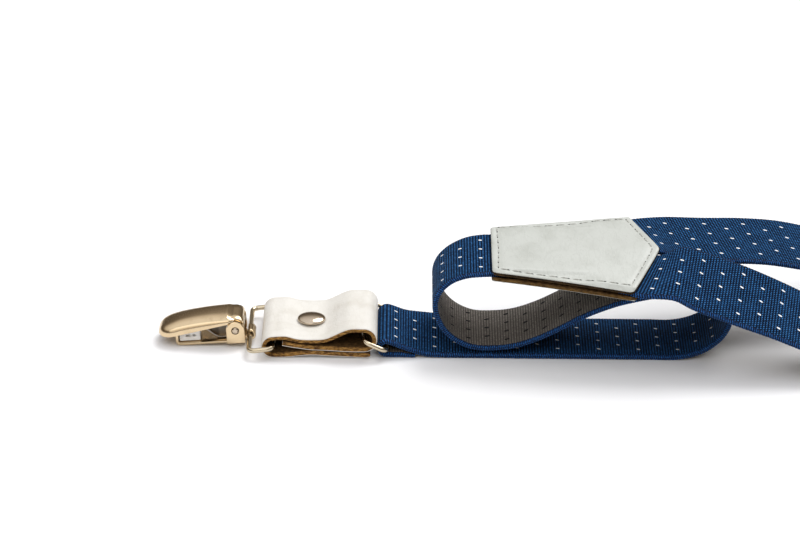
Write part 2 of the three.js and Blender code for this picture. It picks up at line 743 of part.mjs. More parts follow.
function lidRear() {
  const half = EAR_INSIDE - FIT;
  const tail = [
    [-4.6, 7.1],
    [-3.4, 7.1],
    [-2.2, 6.5],
    [-1.5, 5.4],
    ...arcPoints(PIN_X, PIN_Z, TAIL_RADIUS, 20, 0, 3),
    [PIN_X + TAIL_RADIUS - LID_PLATE, PIN_Z],
    ...arcPoints(PIN_X, PIN_Z, TAIL_RADIUS - LID_PLATE, 20, 40, 2),
    [-2.6, 5.8],
    [-4.6, 6.5],
  ];
  const cheek = [
    [-6.4, 6.9],
    [-3.4, 6.9],
    [-2.1, 6.2],
    ...arcPoints(PIN_X, PIN_Z, TAIL_RADIUS - 0.2, 40, -180, 14),
  ];
  const pinHole = [{ x: PIN_X, z: PIN_Z, radius: PIN_RADIUS + PIN_CLEARANCE }];
  return [
    extrudeY(tail, -half, half),
    extrudeY(cheek, -half, -half + PLATE, pinHole),
    extrudeY(cheek, half - PLATE, half, pinHole),
  ];
}

function clipLid(name) {
  return piece(name, join([...lidShell(), ...lidRear()]), "nickel");
}

function endAssembly(prefix) {
  const clip = new THREE.Group();
  clip.position.copy(CLIP_BAR).add(vec(0, CLIP_OFFSET, 0));
  clip.rotation.y = -CLIP_PITCH;
  clip.add(
    clipBase(`${prefix}_clip_base`),
    clipPin(`${prefix}_clip_pin`),
    clipPad(`${prefix}_clip_lower_pad`, BASE_TOP + FIT),
    clipPad(`${prefix}_clip_upper_pad`, LOWER_PAD_TOP + FIT),
    springJaw(`${prefix}_clip_spring_jaw`),
    clipLid(`${prefix}_clip_lid`),
  );
  const end = new THREE.Group();
  end.add(
    strapRing(`${prefix}_strap_ring`),
    leatherTab(`${prefix}_leather_tab`),
    rivetCap(`${prefix}_rivet_cap`),
    rivetPost(`${prefix}_rivet_post`),
    clipLoop(`${prefix}_clip_loop`),
    clip,
  );
  return end;
}

const suspenders = new THREE.Group();
suspenders.add(
  rearStrap(),
  patchLeather("patch_top_leather", 1),
  patchLeather("patch_bottom_leather", -1),
);

const rearEnd = endAssembly("rear");
rearEnd.position.x = REAR_LOOP_X;
suspenders.add(rearEnd);

for (const side of ["left", "right"]) {
  suspenders.add(frontStrap(side), slider(side));
  const frontEnd = endAssembly(side);
  frontEnd.position.copy(stackPlace(side, LOOP_AT, 0));
  frontEnd.rotation.z = Math.PI + radians(FRONT[side].yaw);
  suspenders.add(frontEnd);
}

export default suspenders;
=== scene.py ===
"""Y-back dress suspenders laid out on a table: webbing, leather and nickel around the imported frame.

Lengths inside the classes are millimetres, in the frame's own axes: the rear clip points to -X, the
front clips to +X, and +Z is up. They become metres where a piece's mesh is made.
"""

import logging
import math
from dataclasses import dataclass
from enum import Enum, IntEnum
from typing import Callable, Sequence

import bpy
import numpy as np
from mathutils import Matrix


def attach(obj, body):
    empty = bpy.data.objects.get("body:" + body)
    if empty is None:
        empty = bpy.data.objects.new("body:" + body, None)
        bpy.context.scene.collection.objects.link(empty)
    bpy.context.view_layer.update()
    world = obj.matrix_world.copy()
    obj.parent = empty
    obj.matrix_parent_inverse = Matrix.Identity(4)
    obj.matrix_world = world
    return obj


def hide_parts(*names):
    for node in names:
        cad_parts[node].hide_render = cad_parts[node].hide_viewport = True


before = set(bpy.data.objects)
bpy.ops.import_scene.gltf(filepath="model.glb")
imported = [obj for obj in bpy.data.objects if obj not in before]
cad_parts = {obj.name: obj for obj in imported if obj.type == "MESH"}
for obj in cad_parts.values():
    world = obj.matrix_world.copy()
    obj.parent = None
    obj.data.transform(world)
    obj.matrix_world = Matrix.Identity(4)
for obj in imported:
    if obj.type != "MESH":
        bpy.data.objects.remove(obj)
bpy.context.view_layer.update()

log = logging.getLogger("suspenders")
MM = 0.001
ACROSS = np.array([0.0, 1.0, 0.0])
Colour = tuple[float, float, float, float]


# ---------------------------------------------------------------- shader expressions


def rgb(red: int, green: int, blue: int) -> Colour:
    """Turn a display colour into the linear one that shaders work in.

    Args:
        red: Red, from 0 to 255.
        green: Green, from 0 to 255.
        blue: Blue, from 0 to 255.

    Returns:
        The linear colour, with an alpha of 1.
    """
    linear = []
    for part in (red, green, blue):
        share = part / 255
        linear.append(share / 12.92 if share <= 0.04045 else ((share + 0.055) / 1.055) ** 2.4)
    return (linear[0], linear[1], linear[2], 1.0)


class Value:
    """A number that varies over a surface, with ordinary arithmetic."""

    def __init__(self, paint: "Paint", socket: bpy.types.NodeSocket) -> None:
        """Wrap a socket of a paint's node tree."""
        self.paint = paint
        self.socket = socket

    def math(self, operation: str, *others: "Value | float") -> "Value":
        """Apply a Math node to this value.

        Args:
            operation: The Math node's operation.
            others: Its other operands, in order.

        Returns:
            The result.
        """
        return self.paint.math(operation, self, *others)

    def __add__(self, other: "Value | float") -> "Value":
        """Add."""
        return self.math("ADD", other)

    __radd__ = __add__

    def __sub__(self, other: "Value | float") -> "Value":
        """Subtract."""
        return self.math("SUBTRACT", other)

    def __rsub__(self, other: float) -> "Value":
        """Subtract from a number."""
        return self.paint.math("SUBTRACT", other, self)

    def __mul__(self, other: "Value | float") -> "Value":
        """Multiply."""
        return self.math("MULTIPLY", other)

    __rmul__ = __mul__

    def __truediv__(self, other: "Value | float") -> "Value":
        """Divide."""
        return self.math("DIVIDE", other)

    def __mod__(self, other: float) -> "Value":
        """Remainder, never negative."""
        return self.math("FLOORED_MODULO", other)

    def __lt__(self, other: "Value | float") -> "Value":
        """1 where this is the smaller."""
        return self.math("LESS_THAN", other)

    def __abs__(self) -> "Value":
        """Size without the sign."""
        return self.math("ABSOLUTE")

    def floor(self) -> "Value":
        """Round down."""
        return self.math("FLOOR")

    def sine(self) -> "Value":
        """Sine of this value in radians."""
        return self.math("SINE")

    def rises(self, low: float, high: float) -> "Value":
        """Go smoothly from 0 to 1 as this value goes from low to high.

        Args:
            low: Where the result leaves 0.
            high: Where the result reaches 1.

        Returns:
            The smooth step.
        """
        settings = {"interpolation_type": "SMOOTHSTEP"}
        sockets = {"Value": self, "From Min": low, "From Max": high}
        return Value(self.paint, self.paint.node("ShaderNodeMapRange", settings, sockets).outputs[0])


class Paint:
    """The node tree of a material, or of the surroundings, while it is being made."""

    def __init__(self, owner: bpy.types.Material | bpy.types.World) -> None:
        """Start with an empty tree.

        Args:
            owner: What the tree belongs to.
        """
        owner.use_nodes = True
        self.owner = owner
        self.tree = owner.node_tree
        self.tree.nodes.clear()

    @classmethod
    def new(cls, name: str) -> "Paint":
        """Start a new material's tree."""
        return cls(bpy.data.materials.new(name))

    def node(
        self,
        kind: str,
        settings: dict[str, object] | None = None,
        sockets: dict[str | int, object] | None = None,
    ) -> bpy.types.Node:
        """Add a node, set it up, then give its sockets their values or links.

        Args:
            kind: The node's type.
            settings: Its own settings. "stops" gives a ramp's places and colours.
            sockets: Values, sockets or Values, by the input's name or number.

        Returns:
            The node.
        """
        made = self.tree.nodes.new(kind)
        for name, setting in (settings or {}).items():
            if name == "stops":
                for spare in list(made.color_ramp.elements)[1:]:
                    made.color_ramp.elements.remove(spare)
                for number, (place, colour) in enumerate(setting):
                    elements = made.color_ramp.elements
                    stop = elements[0] if number == 0 else elements.new(place)
                    stop.position = place
                    stop.color = colour
            else:
                setattr(made, name, setting)
        for key, given in (sockets or {}).items():
            given = given.socket if isinstance(given, Value) else given
            if isinstance(given, bpy.types.NodeSocket):
                self.tree.links.new(given, made.inputs[key])
            else:
                made.inputs[key].default_value = given
        return made

    def math(self, operation: str, *values: "Value | float") -> Value:
        """Apply a Math node.

        Args:
            operation: The node's operation.
            values: Its operands, in order.

        Returns:
            The result.
        """
        sockets = dict(enumerate(values))
        return Value(self, self.node("ShaderNodeMath", {"operation": operation}, sockets).outputs[0])

    def mix(self, share: "Value | float", first: object, second: object, how: str = "MIX") -> object:
        """Mix two colours.

        Args:
            share: How much of the second colour, from 0 to 1.
            first: The first colour, or a socket.
            second: The second colour, or a socket.
            how: The Mix node's blend type.

        Returns:
            The mixed colour's socket.
        """
        settings = {"data_type": "RGBA", "blend_type": how}
        return self.node("ShaderNodeMix", settings, {0: share, 6: first, 7: second}).outputs[2]

    def laid(self) -> tuple[object, Value, Value]:
        """Give the place on a strip, in millimetres.

        Returns:
            The place's socket, the distance along the strip, and the distance across it from its middle.
        """
        mapped = self.node("ShaderNodeUVMap", {"uv_map": "laid"}).outputs[0]
        parts = self.node("ShaderNodeSeparateXYZ", None, {0: mapped}).outputs
        return mapped, Value(self, parts[0]), Value(self, parts[1])

    def place(self, stretch: tuple[float, float, float] = (1, 1, 1)) -> object:
        """Give the place in the frame, in millimetres.

        Args:
            stretch: Factors for X, Y and Z.

        Returns:
            The vector's socket.
        """
        at = self.node("ShaderNodeTexCoord").outputs["Object"]
        scale = tuple(factor / MM for factor in stretch)
        settings = {"operation": "MULTIPLY"}
        return self.node("ShaderNodeVectorMath", settings, {0: at, 1: scale}).outputs[0]

    def noise(self, at: object, size: float, detail: float = 2.0, roughness: float = 0.5) -> Value:
        """Give soft noise around 0.5.

        Args:
            at: A place in millimetres.
            size: The size of its blots in millimetres.
            detail: How many finer layers it has.
            roughness: How strong the finer layers are.

        Returns:
            The noise.
        """
        sockets = {"Vector": at, "Scale": 1 / size, "Detail": detail, "Roughness": roughness}
        return Value(self, self.node("ShaderNodeTexNoise", None, sockets).outputs[0])

    def cells(self, at: object, size: float) -> Value:
        """Give the distance to the nearest of scattered points.

        Args:
            at: A place in millimetres.
            size: The size of a cell in millimetres.

        Returns:
            The distance, in cells.
        """
        made = self.node("ShaderNodeTexVoronoi", None, {"Vector": at, "Scale": 1 / size})
        return Value(self, made.outputs["Distance"])

    def bump(self, height: Value, depth: float, under: object = None) -> object:
        """Raise a surface by a height.

        Args:
            height: The height, from 0 to 1.
            depth: How far 1 stands proud, in millimetres.
            under: A normal that this one adds to.

        Returns:
            The normal's socket.
        """
        sockets = {"Height": height, "Distance": depth * MM, "Strength": 1.0}
        if under is not None:
            sockets["Normal"] = under
        return self.node("ShaderNodeBump", None, sockets).outputs[0]

    def surface(self, sockets: dict[str, object]) -> bpy.types.Material:
        """Close the tree with one Principled surface.

        Args:
            sockets: The surface's values and links.

        Returns:
            The finished material.
        """
        shader = self.node("ShaderNodeBsdfPrincipled", None, sockets)
        self.node("ShaderNodeOutputMaterial", None, {"Surface": shader.outputs[0]})
        return self.owner


# ---------------------------------------------------------------- finishes


@dataclass(frozen=True)
class Finish:
    """What every finish has: a name, and something that feeds its surface."""

    name: str

    def sockets(self, paint: Paint) -> dict[str, object]:
        """Give what feeds the surface. Each kind of finish has its own."""
        raise NotImplementedError(self.name)

    def material(self) -> bpy.types.Material:
        """Make the material."""
        paint = Paint.new(self.name)
        return paint.surface(self.sockets(paint))


@dataclass(frozen=True)
class Weave(Finish):
    """Fine ribbed webbing with short woven dashes, seen from its face or from its lining, with painted
    highlights on its threads' tops.
    """

    dark: Colour
    # light: the painted highlight colour of the threads' rounded tops
    light: Colour
    dash: Colour
    sheen: float = 0.04
    rib: float = 0.8  # from one rib to the next, along the webbing
    thread: float = 0.8  # from one thread to the next, across it
    column_pitch: float = 5.8
    dash_pitch: float = 5.6
    dash_length: float = 1.05
    dash_width: float = 0.58
    slant: float = 0.3  # how far a dash leans, as its rise over its run
    margin: float = 10.0  # from the webbing's middle to where the dashes end

    def dashes(self, paint: Paint, along: Value, across: Value) -> Value:
        """Find the woven dashes, in staggered columns of four and three.

        Args:
            paint: The material's tree.
            along: The distance along the strip.
            across: The distance across it.

        Returns:
            1 on a dash and 0 beside it.
        """
        column = along / self.column_pitch
        odd = column.floor() % 2
        from_column = (column % 1 - 0.5) * self.column_pitch
        from_dash = ((across / self.dash_pitch + odd * 0.5) % 1 - 0.5) * self.dash_pitch
        slanted = from_dash + from_column * self.slant
        reach = abs(from_column) * (2 / self.dash_length)
        rise = abs(slanted) * (2 / self.dash_width)
        inside = 1 - (reach.math("POWER", 3.0) + rise.math("POWER", 3.0)).rises(0.7, 1.15)
        return inside * (abs(across) < self.margin)

    def sockets(self, paint: Paint) -> dict[str, object]:
        """Give what feeds the surface.

        Args:
            paint: The material's tree.

        Returns:
            The surface's values and links.
        """
        mapped, along, across = paint.laid()
        rib = along / self.rib
        shifted = across / self.thread + (rib.floor() % 2) * 0.5
        round_rib = ((rib % 1) * math.pi).sine()
        round_thread = ((shifted % 1) * math.pi).sine()
        mottling = paint.noise(mapped, 0.7, 3.0, 0.8)
        blotch = paint.noise(mapped, 6.0, 3.0)
        # The threads' rounded tops take the light colour, patchily: a painted highlight.
        bead = (round_rib * round_thread).rises(0.4, 0.9)
        bead_highlight = bead * (mottling.rises(0.28, 0.72) * 0.85 + 0.15)
        cloth = paint.mix(bead_highlight, self.dark, self.light)
        shaded = paint.mix(blotch.rises(0.35, 0.8) * 0.06, cloth, self.light)
        dash = self.dashes(paint, along, across)
        colour = paint.mix(dash, shaded, self.dash)
        normal = paint.bump(bead * 0.6 + round_rib * 0.4 + dash * 0.5, 0.09)
        return {
            "Base Color": colour,
            "Roughness": 0.8 - dash * 0.2,
            "Normal": normal,
            "Sheen Weight": self.sheen,
            "Sheen Roughness": 0.35,
            "Sheen Tint": (0.5, 0.66, 0.92, 1.0),
            "Specular IOR Level": 0.05,
        }


@dataclass(frozen=True)
class Selvedge(Finish):
    """The webbing's woven edge: two rows of fine cords that lean towards each other."""

    dark: Colour = rgb(1, 5, 24)
    light: Colour = rgb(44, 108, 184)
    pitch: float = 0.62

    def sockets(self, paint: Paint) -> dict[str, object]:
        """Give what feeds the surface.

        Args:
            paint: The material's tree.

        Returns:
            The surface's values and links.
        """
        mapped, along, height = paint.laid()
        lean = (along / self.pitch + abs(height) * 0.7) % 1
        cord = (lean * math.pi).sine()
        row = abs((abs(height) - 0.4) * 2.4)
        spotted = paint.noise(mapped, 0.5, 2.0).rises(0.3, 0.7)
        lit = cord.rises(0.45, 1.0) * (1 - row.rises(0.4, 1.1)) * (0.2 + spotted * 0.8)
        return {
            "Base Color": paint.mix(lit, self.dark, self.light),
            "Roughness": 0.75,
            "Normal": paint.bump(cord * (1 - row * 0.5), 0.12),
            "Sheen Weight": 0.04,
            "Specular IOR Level": 0.15,
        }


@dataclass(frozen=True)
class Grain(Finish):
    """The smooth, lightly grained side of finished leather."""

    base: Colour = rgb(226, 223, 216)
    shade: Colour = rgb(202, 196, 184)
    roughness: float = 0.42
    pebble: float = 0.9

    def sockets(self, paint: Paint) -> dict[str, object]:
        """Give what feeds the surface.

        Args:
            paint: The material's tree.

        Returns:
            The surface's values and links.
        """
        at = paint.place()
        pebbles = paint.cells(at, self.pebble)
        fine = paint.noise(at, 0.35, 3.0)
        wide = paint.noise(at, 7.0, 3.0)
        creases = paint.noise(paint.place((1.0, 0.4, 1.0)), 2.6, 4.0, 0.6)
        folds = 1 - abs(creases - 0.5).rises(0.0, 0.05)
        # Wide blotches vary the tone at random; the crease lines are tinted towards the shade colour as
        # painted shade in the creases.
        mottling = wide.rises(0.4, 0.8) * 0.5 + folds * 0.12
        pebbled = paint.bump((1 - pebbles) * 0.7 + fine * 0.3, 0.05)
        return {
            "Base Color": paint.mix(mottling, self.base, self.shade),
            "Roughness": self.roughness + fine * 0.16 + folds * 0.05,
            "Normal": paint.bump(1 - folds * 0.6, 0.04, pebbled),
            "Coat Weight": 0.12,
            "Coat Roughness": 0.35,
            "Specular IOR Level": 0.45,
        }


@dataclass(frozen=True)
class Hide(Finish):
    """Raw leather: a cut edge or the flesh side, fibrous and unfinished."""

    dark: Colour
    light: Colour
    fibre: tuple[float, float, float] = (0.35, 0.35, 1.6)

    def sockets(self, paint: Paint) -> dict[str, object]:
        """Give what feeds the surface.

        Args:
            paint: The material's tree.

        Returns:
            The surface's values and links.
        """
        fibres = paint.noise(paint.place(self.fibre), 0.5, 4.0, 0.7)
        specks = paint.noise(paint.place(), 0.28, 3.0, 0.7)
        lit = fibres.rises(0.35, 0.68) * 0.75 + specks.rises(0.5, 0.72) * 0.35
        return {
            "Base Color": paint.mix(lit, self.dark, self.light),
            "Roughness": 0.86,
            "Normal": paint.bump(fibres * 0.6 + specks * 0.4, 0.16),
            "Specular IOR Level": 0.2,
        }


@dataclass(frozen=True)
class Nickel(Finish):
    """Warm plated metal, lightly scratched and smudged."""

    base: Colour
    mottling: Colour
    roughness: float

    def sockets(self, paint: Paint) -> dict[str, object]:
        """Give what feeds the surface.

        Args:
            paint: The material's tree.

        Returns:
            The surface's values and links.
        """
        at = paint.place()
        scratches = paint.noise(paint.place((0.12, 2.4, 1.2)), 0.3, 3.0, 0.7)
        smudges = paint.noise(at, 4.0, 3.0, 0.6)
        specks = paint.noise(at, 0.22, 2.0, 0.6)
        dull = smudges.rises(0.5, 0.8) * 0.4 + specks.rises(0.66, 0.8) * 0.35
        return {
            "Base Color": paint.mix(dull, self.base, self.mottling),
            "Metallic": 1.0,
            "Roughness": self.roughness + dull * 0.14 + scratches * 0.08,
            "Normal": paint.bump(scratches * 0.5 + specks * 0.5, 0.006),
        }


@dataclass(frozen=True)
class Moulded(Finish):
    """Moulded nylon, faintly mottled, with a fine matt skin."""

    base: Colour = rgb(246, 244, 240)
    shade: Colour = rgb(228, 224, 216)

    def sockets(self, paint: Paint) -> dict[str, object]:
        """Give what feeds the surface.

        Args:
            paint: The material's tree.

        Returns:
            The surface's values and links.
        """
        at = paint.place()
        mottled = paint.noise(at, 2.2, 3.0)
        skin = paint.noise(at, 0.18, 2.0)
        return {
            "Base Color": paint.mix(mottled.rises(0.4, 0.8) * 0.6, self.base, self.shade),
            "Roughness": 0.42 + skin * 0.15,
            "Normal": paint.bump(skin, 0.02),
            "Subsurface Weight": 0.15,
            "Subsurface Radius": (0.6 * MM, 0.6 * MM, 0.6 * MM),
        }


@dataclass(frozen=True)
class Sewing(Finish):
    """Twisted sewing thread."""

    dark: Colour
    light: Colour
    lay: float = 0.34  # the length of one ply's half turn

    def sockets(self, paint: Paint) -> dict[str, object]:
        """Give what feeds the surface.

        Args:
            paint: The material's tree.

        Returns:
            The surface's values and links.
        """
        _, along, turn = paint.laid()
        # The plies' crowns are painted lighter and the grooves between them darker: painted highlight and
        # painted shade along the twist.
        ply = abs(((along / self.lay + turn) * math.pi).sine())
        return {
            "Base Color": paint.mix(ply, self.dark, self.light),
            "Roughness": 0.6,
            "Normal": paint.bump(ply, 0.06),
            "Sheen Weight": 0.2,
        }


class Finishes:
    """Every finish of the suspenders, each made once."""

    def __init__(self) -> None:
        """Make the materials."""
        self.face = Weave("webbing_face", rgb(0, 4, 22), rgb(62, 132, 202), rgb(250, 251, 252)).material()
        self.lining = Weave(
            "webbing_lining", rgb(74, 70, 66), rgb(168, 160, 152), rgb(4, 4, 9),
            dash_length=1.5, dash_width=0.95,
        ).material()
        self.edge = Selvedge("webbing_edge").material()
        self.grain = Grain("leather_grain").material()
        # The patch is the tabs' white leather painted greyer: painted shade.
        self.patch = Grain("patch_grain_shaded", rgb(192, 195, 189), rgb(166, 169, 161), 0.4, 1.1).material()
        self.raw = Hide("leather_raw_edge", rgb(52, 29, 9), rgb(202, 152, 82)).material()
        self.flesh = Hide("leather_flesh", rgb(62, 42, 20), rgb(122, 92, 54)).material()
        self.upper_edge = Hide("patch_upper_edge", rgb(12, 8, 3), rgb(70, 50, 24)).material()
        self.lower_edge = Hide("patch_lower_edge", rgb(40, 26, 8), rgb(132, 100, 52)).material()
        self.nickel = Nickel("nickel", rgb(216, 193, 157), rgb(172, 147, 112), 0.12).material()
        self.cap = Nickel("nickel_cap", rgb(196, 180, 160), rgb(150, 130, 108), 0.1).material()
        self.wire = Nickel("nickel_wire", rgb(204, 190, 164), rgb(150, 130, 100), 0.12).material()
        self.steel = Nickel("spring_steel", rgb(150, 142, 132), rgb(84, 74, 64), 0.3).material()
        self.nylon = Moulded("moulded_nylon").material()
        # The white thread is painted grey: painted shade where the stitches sit in the leather.
        self.shaded_white_thread = Sewing("shaded_white_thread", rgb(140, 139, 131), rgb(196, 197, 190)).material()
        # Near-black blobs at the stitch ends are painted shade in the needle holes.
        self.hole = Sewing("needle_hole_shade", rgb(12, 10, 8), rgb(28, 24, 18)).material()


# ---------------------------------------------------------------- lines and closed forms


def smooth(points: Sequence[Sequence[float]], steps: int) -> np.ndarray:
    """Pass a centripetal Catmull-Rom curve through points.

    Args:
        points: The points, in order.
        steps: How many steps it takes from each point to the next.

    Returns:
        The curve's points, one row each.
    """
    given = np.array(points, float)
    before = 2 * given[0] - given[1]
    after = 2 * given[-1] - given[-2]
    run = np.vstack([before, given, after])
    curve = []
    for p0, p1, p2, p3 in zip(run, run[1:], run[2:], run[3:]):
        gaps = [max(float(np.linalg.norm(b - a)) ** 0.5, 1e-4) for a, b in ((p0, p1), (p1, p2), (p2, p3))]
        leave = (p1 - p0) / gaps[0] - (p2 - p0) / (gaps[0] + gaps[1]) + (p2 - p1) / gaps[1]
        reach = (p2 - p1) / gaps[1] - (p3 - p1) / (gaps[1] + gaps[2]) + (p3 - p2) / gaps[2]
        leave, reach = leave * gaps[1], reach * gaps[1]
        t = (np.arange(steps) / steps)[:, None]
        cubic = (2 * t**3 - 3 * t**2 + 1) * p1 + (t**3 - 2 * t**2 + t) * leave
        curve.append(cubic + (-2 * t**3 + 3 * t**2) * p2 + (t**3 - t**2) * reach)
    return np.vstack([*curve, given[-1:]])


def distances(line: np.ndarray) -> np.ndarray:
    """Measure how far along a line each of its points lies.

    Args:
        line: The points.

    Returns:
        One distance each, from 0.
    """
    return np.concatenate([[0], np.cumsum(np.linalg.norm(np.diff(line, axis=0), axis=1))])


def even(line: np.ndarray, step: float, *others: np.ndarray) -> tuple[np.ndarray, ...]:
    """Take points at even steps along a line.

    Args:
        line: The points of the line.
        step: The wanted distance between points.
        others: Rows that go with the points, taken at the same places.

    Returns:
        The even distances, the points there, and the other rows there.
    """
    at = distances(line)
    wanted = np.linspace(0, at[-1], max(2, round(at[-1] / step)) + 1)
    taken = [np.stack([np.interp(wanted, at, part) for part in rows.T], 1) for rows in (line, *others)]
    return (wanted, *taken)


def unit(rows: np.ndarray) -> np.ndarray:
    """Give vectors a length of 1."""
    return rows / np.maximum(np.linalg.norm(rows, axis=-1, keepdims=True), 1e-9)


def steps_between(value: np.ndarray | float, low: float, high: float) -> np.ndarray | float:
    """Go smoothly from 0 to 1 as value goes from low to high."""
    share = np.clip((value - low) / (high - low), 0, 1)
    return share * share * (3 - 2 * share)


def arc(x: float, z: float, radius: float, start: float, end: float, steps: int) -> np.ndarray:
    """Give points on an arc in X and Z.

    Args:
        x: The centre's X.
        z: The centre's Z.
        radius: The radius.
        start: The first angle, in degrees from +X towards +Z.
        end: The last angle.
        steps: The number of steps.

    Returns:
        The points, as rows of X and Z.
    """
    angle = np.radians(np.linspace(start, end, steps + 1))
    return np.stack([x + radius * np.cos(angle), z + radius * np.sin(angle)], 1)


def at_y(rows: Sequence[Sequence[float]] | np.ndarray, y: float = 0.0) -> np.ndarray:
    """Turn rows of X and Z into points at one Y."""
    rows = np.asarray(rows, float)
    return np.stack([rows[:, 0], np.full(len(rows), y), rows[:, 1]], 1)


class Side(IntEnum):
    """The sides of a strip, in the order of its finishes."""

    UPPER = 0
    EDGE = 1
    LOWER = 2


def strip_section(
    width: float, thickness: float, radius: float, columns: int, turns: int
) -> tuple[np.ndarray, np.ndarray]:
    """Make the outline of a strip's cross-section, with rounded edges.

    Args:
        width: The strip's width.
        thickness: Its thickness.
        radius: The radius of its edges' corners.
        columns: How many faces lie across its upper side.
        turns: How many faces make a quarter turn at a corner.

    Returns:
        The points, as rows of across and up, and the side of the face after each.
    """
    flat = width / 2 - radius
    level = thickness / 2 - radius
    across = np.linspace(-flat, flat, columns + 1)
    quarter = np.radians(np.linspace(0, 90, turns + 1))
    upper = np.stack([across, np.full(columns + 1, thickness / 2)], 1)
    corner = np.stack([flat + radius * np.sin(quarter), level + radius * np.cos(quarter)], 1)[1:]
    fold = corner[::-1] * [1, -1]
    far = np.vstack([corner, fold if level > 1e-6 else fold[1:]])[:-1]
    half = np.vstack([upper, far])
    outline = np.vstack([half, -half])
    edges = len(far)
    sides = [Side.UPPER] * columns + [Side.EDGE] * (edges + 1) + [Side.LOWER] * columns
    return outline, np.array(sides + [Side.EDGE] * (edges + 1))


class Cap(Enum):
    """How a loft ends."""

    FLAT = "flat"
    SHELL = "shell"
    LOOPED = "looped"


class Form:
    """Closed surfaces gathered into one piece, in millimetres."""

    def __init__(self) -> None:
        """Start with nothing."""
        self.points: list[np.ndarray] = []
        self.faces: list[Sequence[int]] = []
        self.finishes: list[int] = []
        self.places: list[np.ndarray] = []
        self.count = 0

    def loft(
        self,
        rings: np.ndarray,
        cap: Cap = Cap.FLAT,
        sides: np.ndarray | int = 0,
        places: dict[int, np.ndarray] | None = None,
    ) -> "Form":
        """Add a closed surface that passes through rings of points.

        Args:
            rings: The rings, by row, place in the row, and coordinate.
            cap: How its two ends close.
            sides: The finish of the face after each point of a ring.
            places: For each finish, the place of every point on that finish's own map.

        Returns:
            This form.
        """
        rows, size = rings.shape[:2]
        last = rows if cap is Cap.LOOPED else rows - 1
        i = np.arange(last)[:, None]
        j = np.arange(size)[None, :]
        ahead = (i + 1) % rows
        beside = (j + 1) % size
        quads = np.stack(np.broadcast_arrays(
            i * size + j, ahead * size + j, ahead * size + beside, i * size + beside), -1)
        quads = quads.reshape(-1, 4)
        finish = np.tile(np.broadcast_to(sides, (size,)), last)
        faces: list[Sequence[int]] = quads.tolist()
        end = (rows - 1) * size
        if cap is Cap.FLAT:
            faces += [list(range(size)), list(range(end + size - 1, end - 1, -1))]
        if cap is Cap.SHELL:
            for k in range(size // 2 - 1):
                other = size - 1 - k
                faces.append([k, k + 1, other - 1, other])
                faces.append([end + k, end + other, end + other - 1, end + k + 1])
        finish = np.concatenate([finish, np.full(len(faces) - len(quads), finish[size // 2])])
        points = rings.reshape(-1, 3)
        if self.volume(points, faces) < 0:
            faces = [face[::-1] for face in faces]
        for face, number in zip(faces, finish):
            mapped = places[int(number)].reshape(-1, 2)[face] if places else np.zeros((len(face), 2))
            self.places.append(mapped)
        self.faces += [[corner + self.count for corner in face] for face in faces]
        self.finishes += finish.tolist()
        self.points.append(points)
        self.count += len(points)
        return self

    @staticmethod
    def volume(points: np.ndarray, faces: Sequence[Sequence[int]]) -> float:
        """Measure the signed volume inside a surface.

        Args:
            points: Its points.
            faces: Its faces.

        Returns:
            Six times the volume, above 0 where the faces point out.
        """
        fans = [(face[0], face[k], face[k + 1]) for face in faces for k in range(1, len(face) - 1)]
        a, b, c = (points[list(corner)] for corner in zip(*fans))
        return float(np.einsum("ij,ij->i", a, np.cross(b, c)).sum())

    def piece(
        self,
        name: str,
        materials: Sequence[bpy.types.Material],
        place: np.ndarray | None = None,
        crease: float = 50.0,
    ) -> bpy.types.Object:
        """Make the piece's object.

        Args:
            name: Its name.
            materials: Its materials, in the order of the finish numbers.
            place: Where its own frame lies, as a 4 by 4 matrix in millimetres.
            crease: The angle in degrees above which an edge stays sharp.

        Returns:
            The object.
        """
        points = np.concatenate(self.points)
        if place is not None:
            points = points @ place[:3, :3].T + place[:3, 3]
        mesh = bpy.data.meshes.new(name)
        mesh.from_pydata((points * MM).tolist(), [], self.faces)
        for material in materials:
            mesh.materials.append(material)
        mesh.polygons.foreach_set("material_index", self.finishes)
        mesh.polygons.foreach_set("use_smooth", [True] * len(self.faces))
        mesh.set_sharp_from_angle(angle=math.radians(crease))
        layer = mesh.uv_layers.new(name="laid")
        layer.data.foreach_set("uv", np.concatenate(self.places).astype(np.float32).ravel())
        log.info("%s: %d points, %d faces", name, len(points), len(self.faces))
        return linked(name, mesh)


def lathe(profile: Sequence[tuple[float, float]], turns: int) -> np.ndarray:
    """Turn a profile about Z.

    Args:
        profile: Radii and heights, in order.
        turns: How many steps a full turn takes.

    Returns:
        A ring for each place in the profile.
    """
    angle = 2 * math.pi * np.arange(turns) / turns
    circle = np.stack([np.cos(angle), np.sin(angle), 0 * angle], 1)
    return np.array([circle * radius + [0, 0, height] for radius, height in profile])


def linked(name: str, data: bpy.types.ID) -> bpy.types.Object:
    """Make an object from its data and put it in the scene."""
    made = bpy.data.objects.new(name, data)
    bpy.context.scene.collection.objects.link(made)
    return made


def turned(x: float, y: float, z: float, about_z: float = 0.0, about_y: float = 0.0) -> np.ndarray:
    """Give the matrix of a place and its turns.

    Args:
        x: The place's X.
        y: The place's Y.
        z: The place's Z.
        about_z: The turn about Z in degrees, done last.
        about_y: The turn about Y in degrees, done first.

    Returns:
        The 4 by 4 matrix.
    """
    turn = Matrix.Rotation(math.radians(about_z), 4, "Z") @ Matrix.Rotation(math.radians(about_y), 4, "Y")
    return np.array(Matrix.Translation((x, y, z)) @ turn)


def belongs(piece: bpy.types.Object, body: str, slot: str, *nodes: str) -> bpy.types.Object:
    """Put a piece on the body that carries it, and hide the nodes that it replaces.

    Args:
        piece: The piece.
        body: The body that carries it.
        slot: Not used.
        nodes: The nodes that it replaces.

    Returns:
        The piece.
    """
    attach(piece, body)
    if nodes:
        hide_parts(*nodes)
    return piece


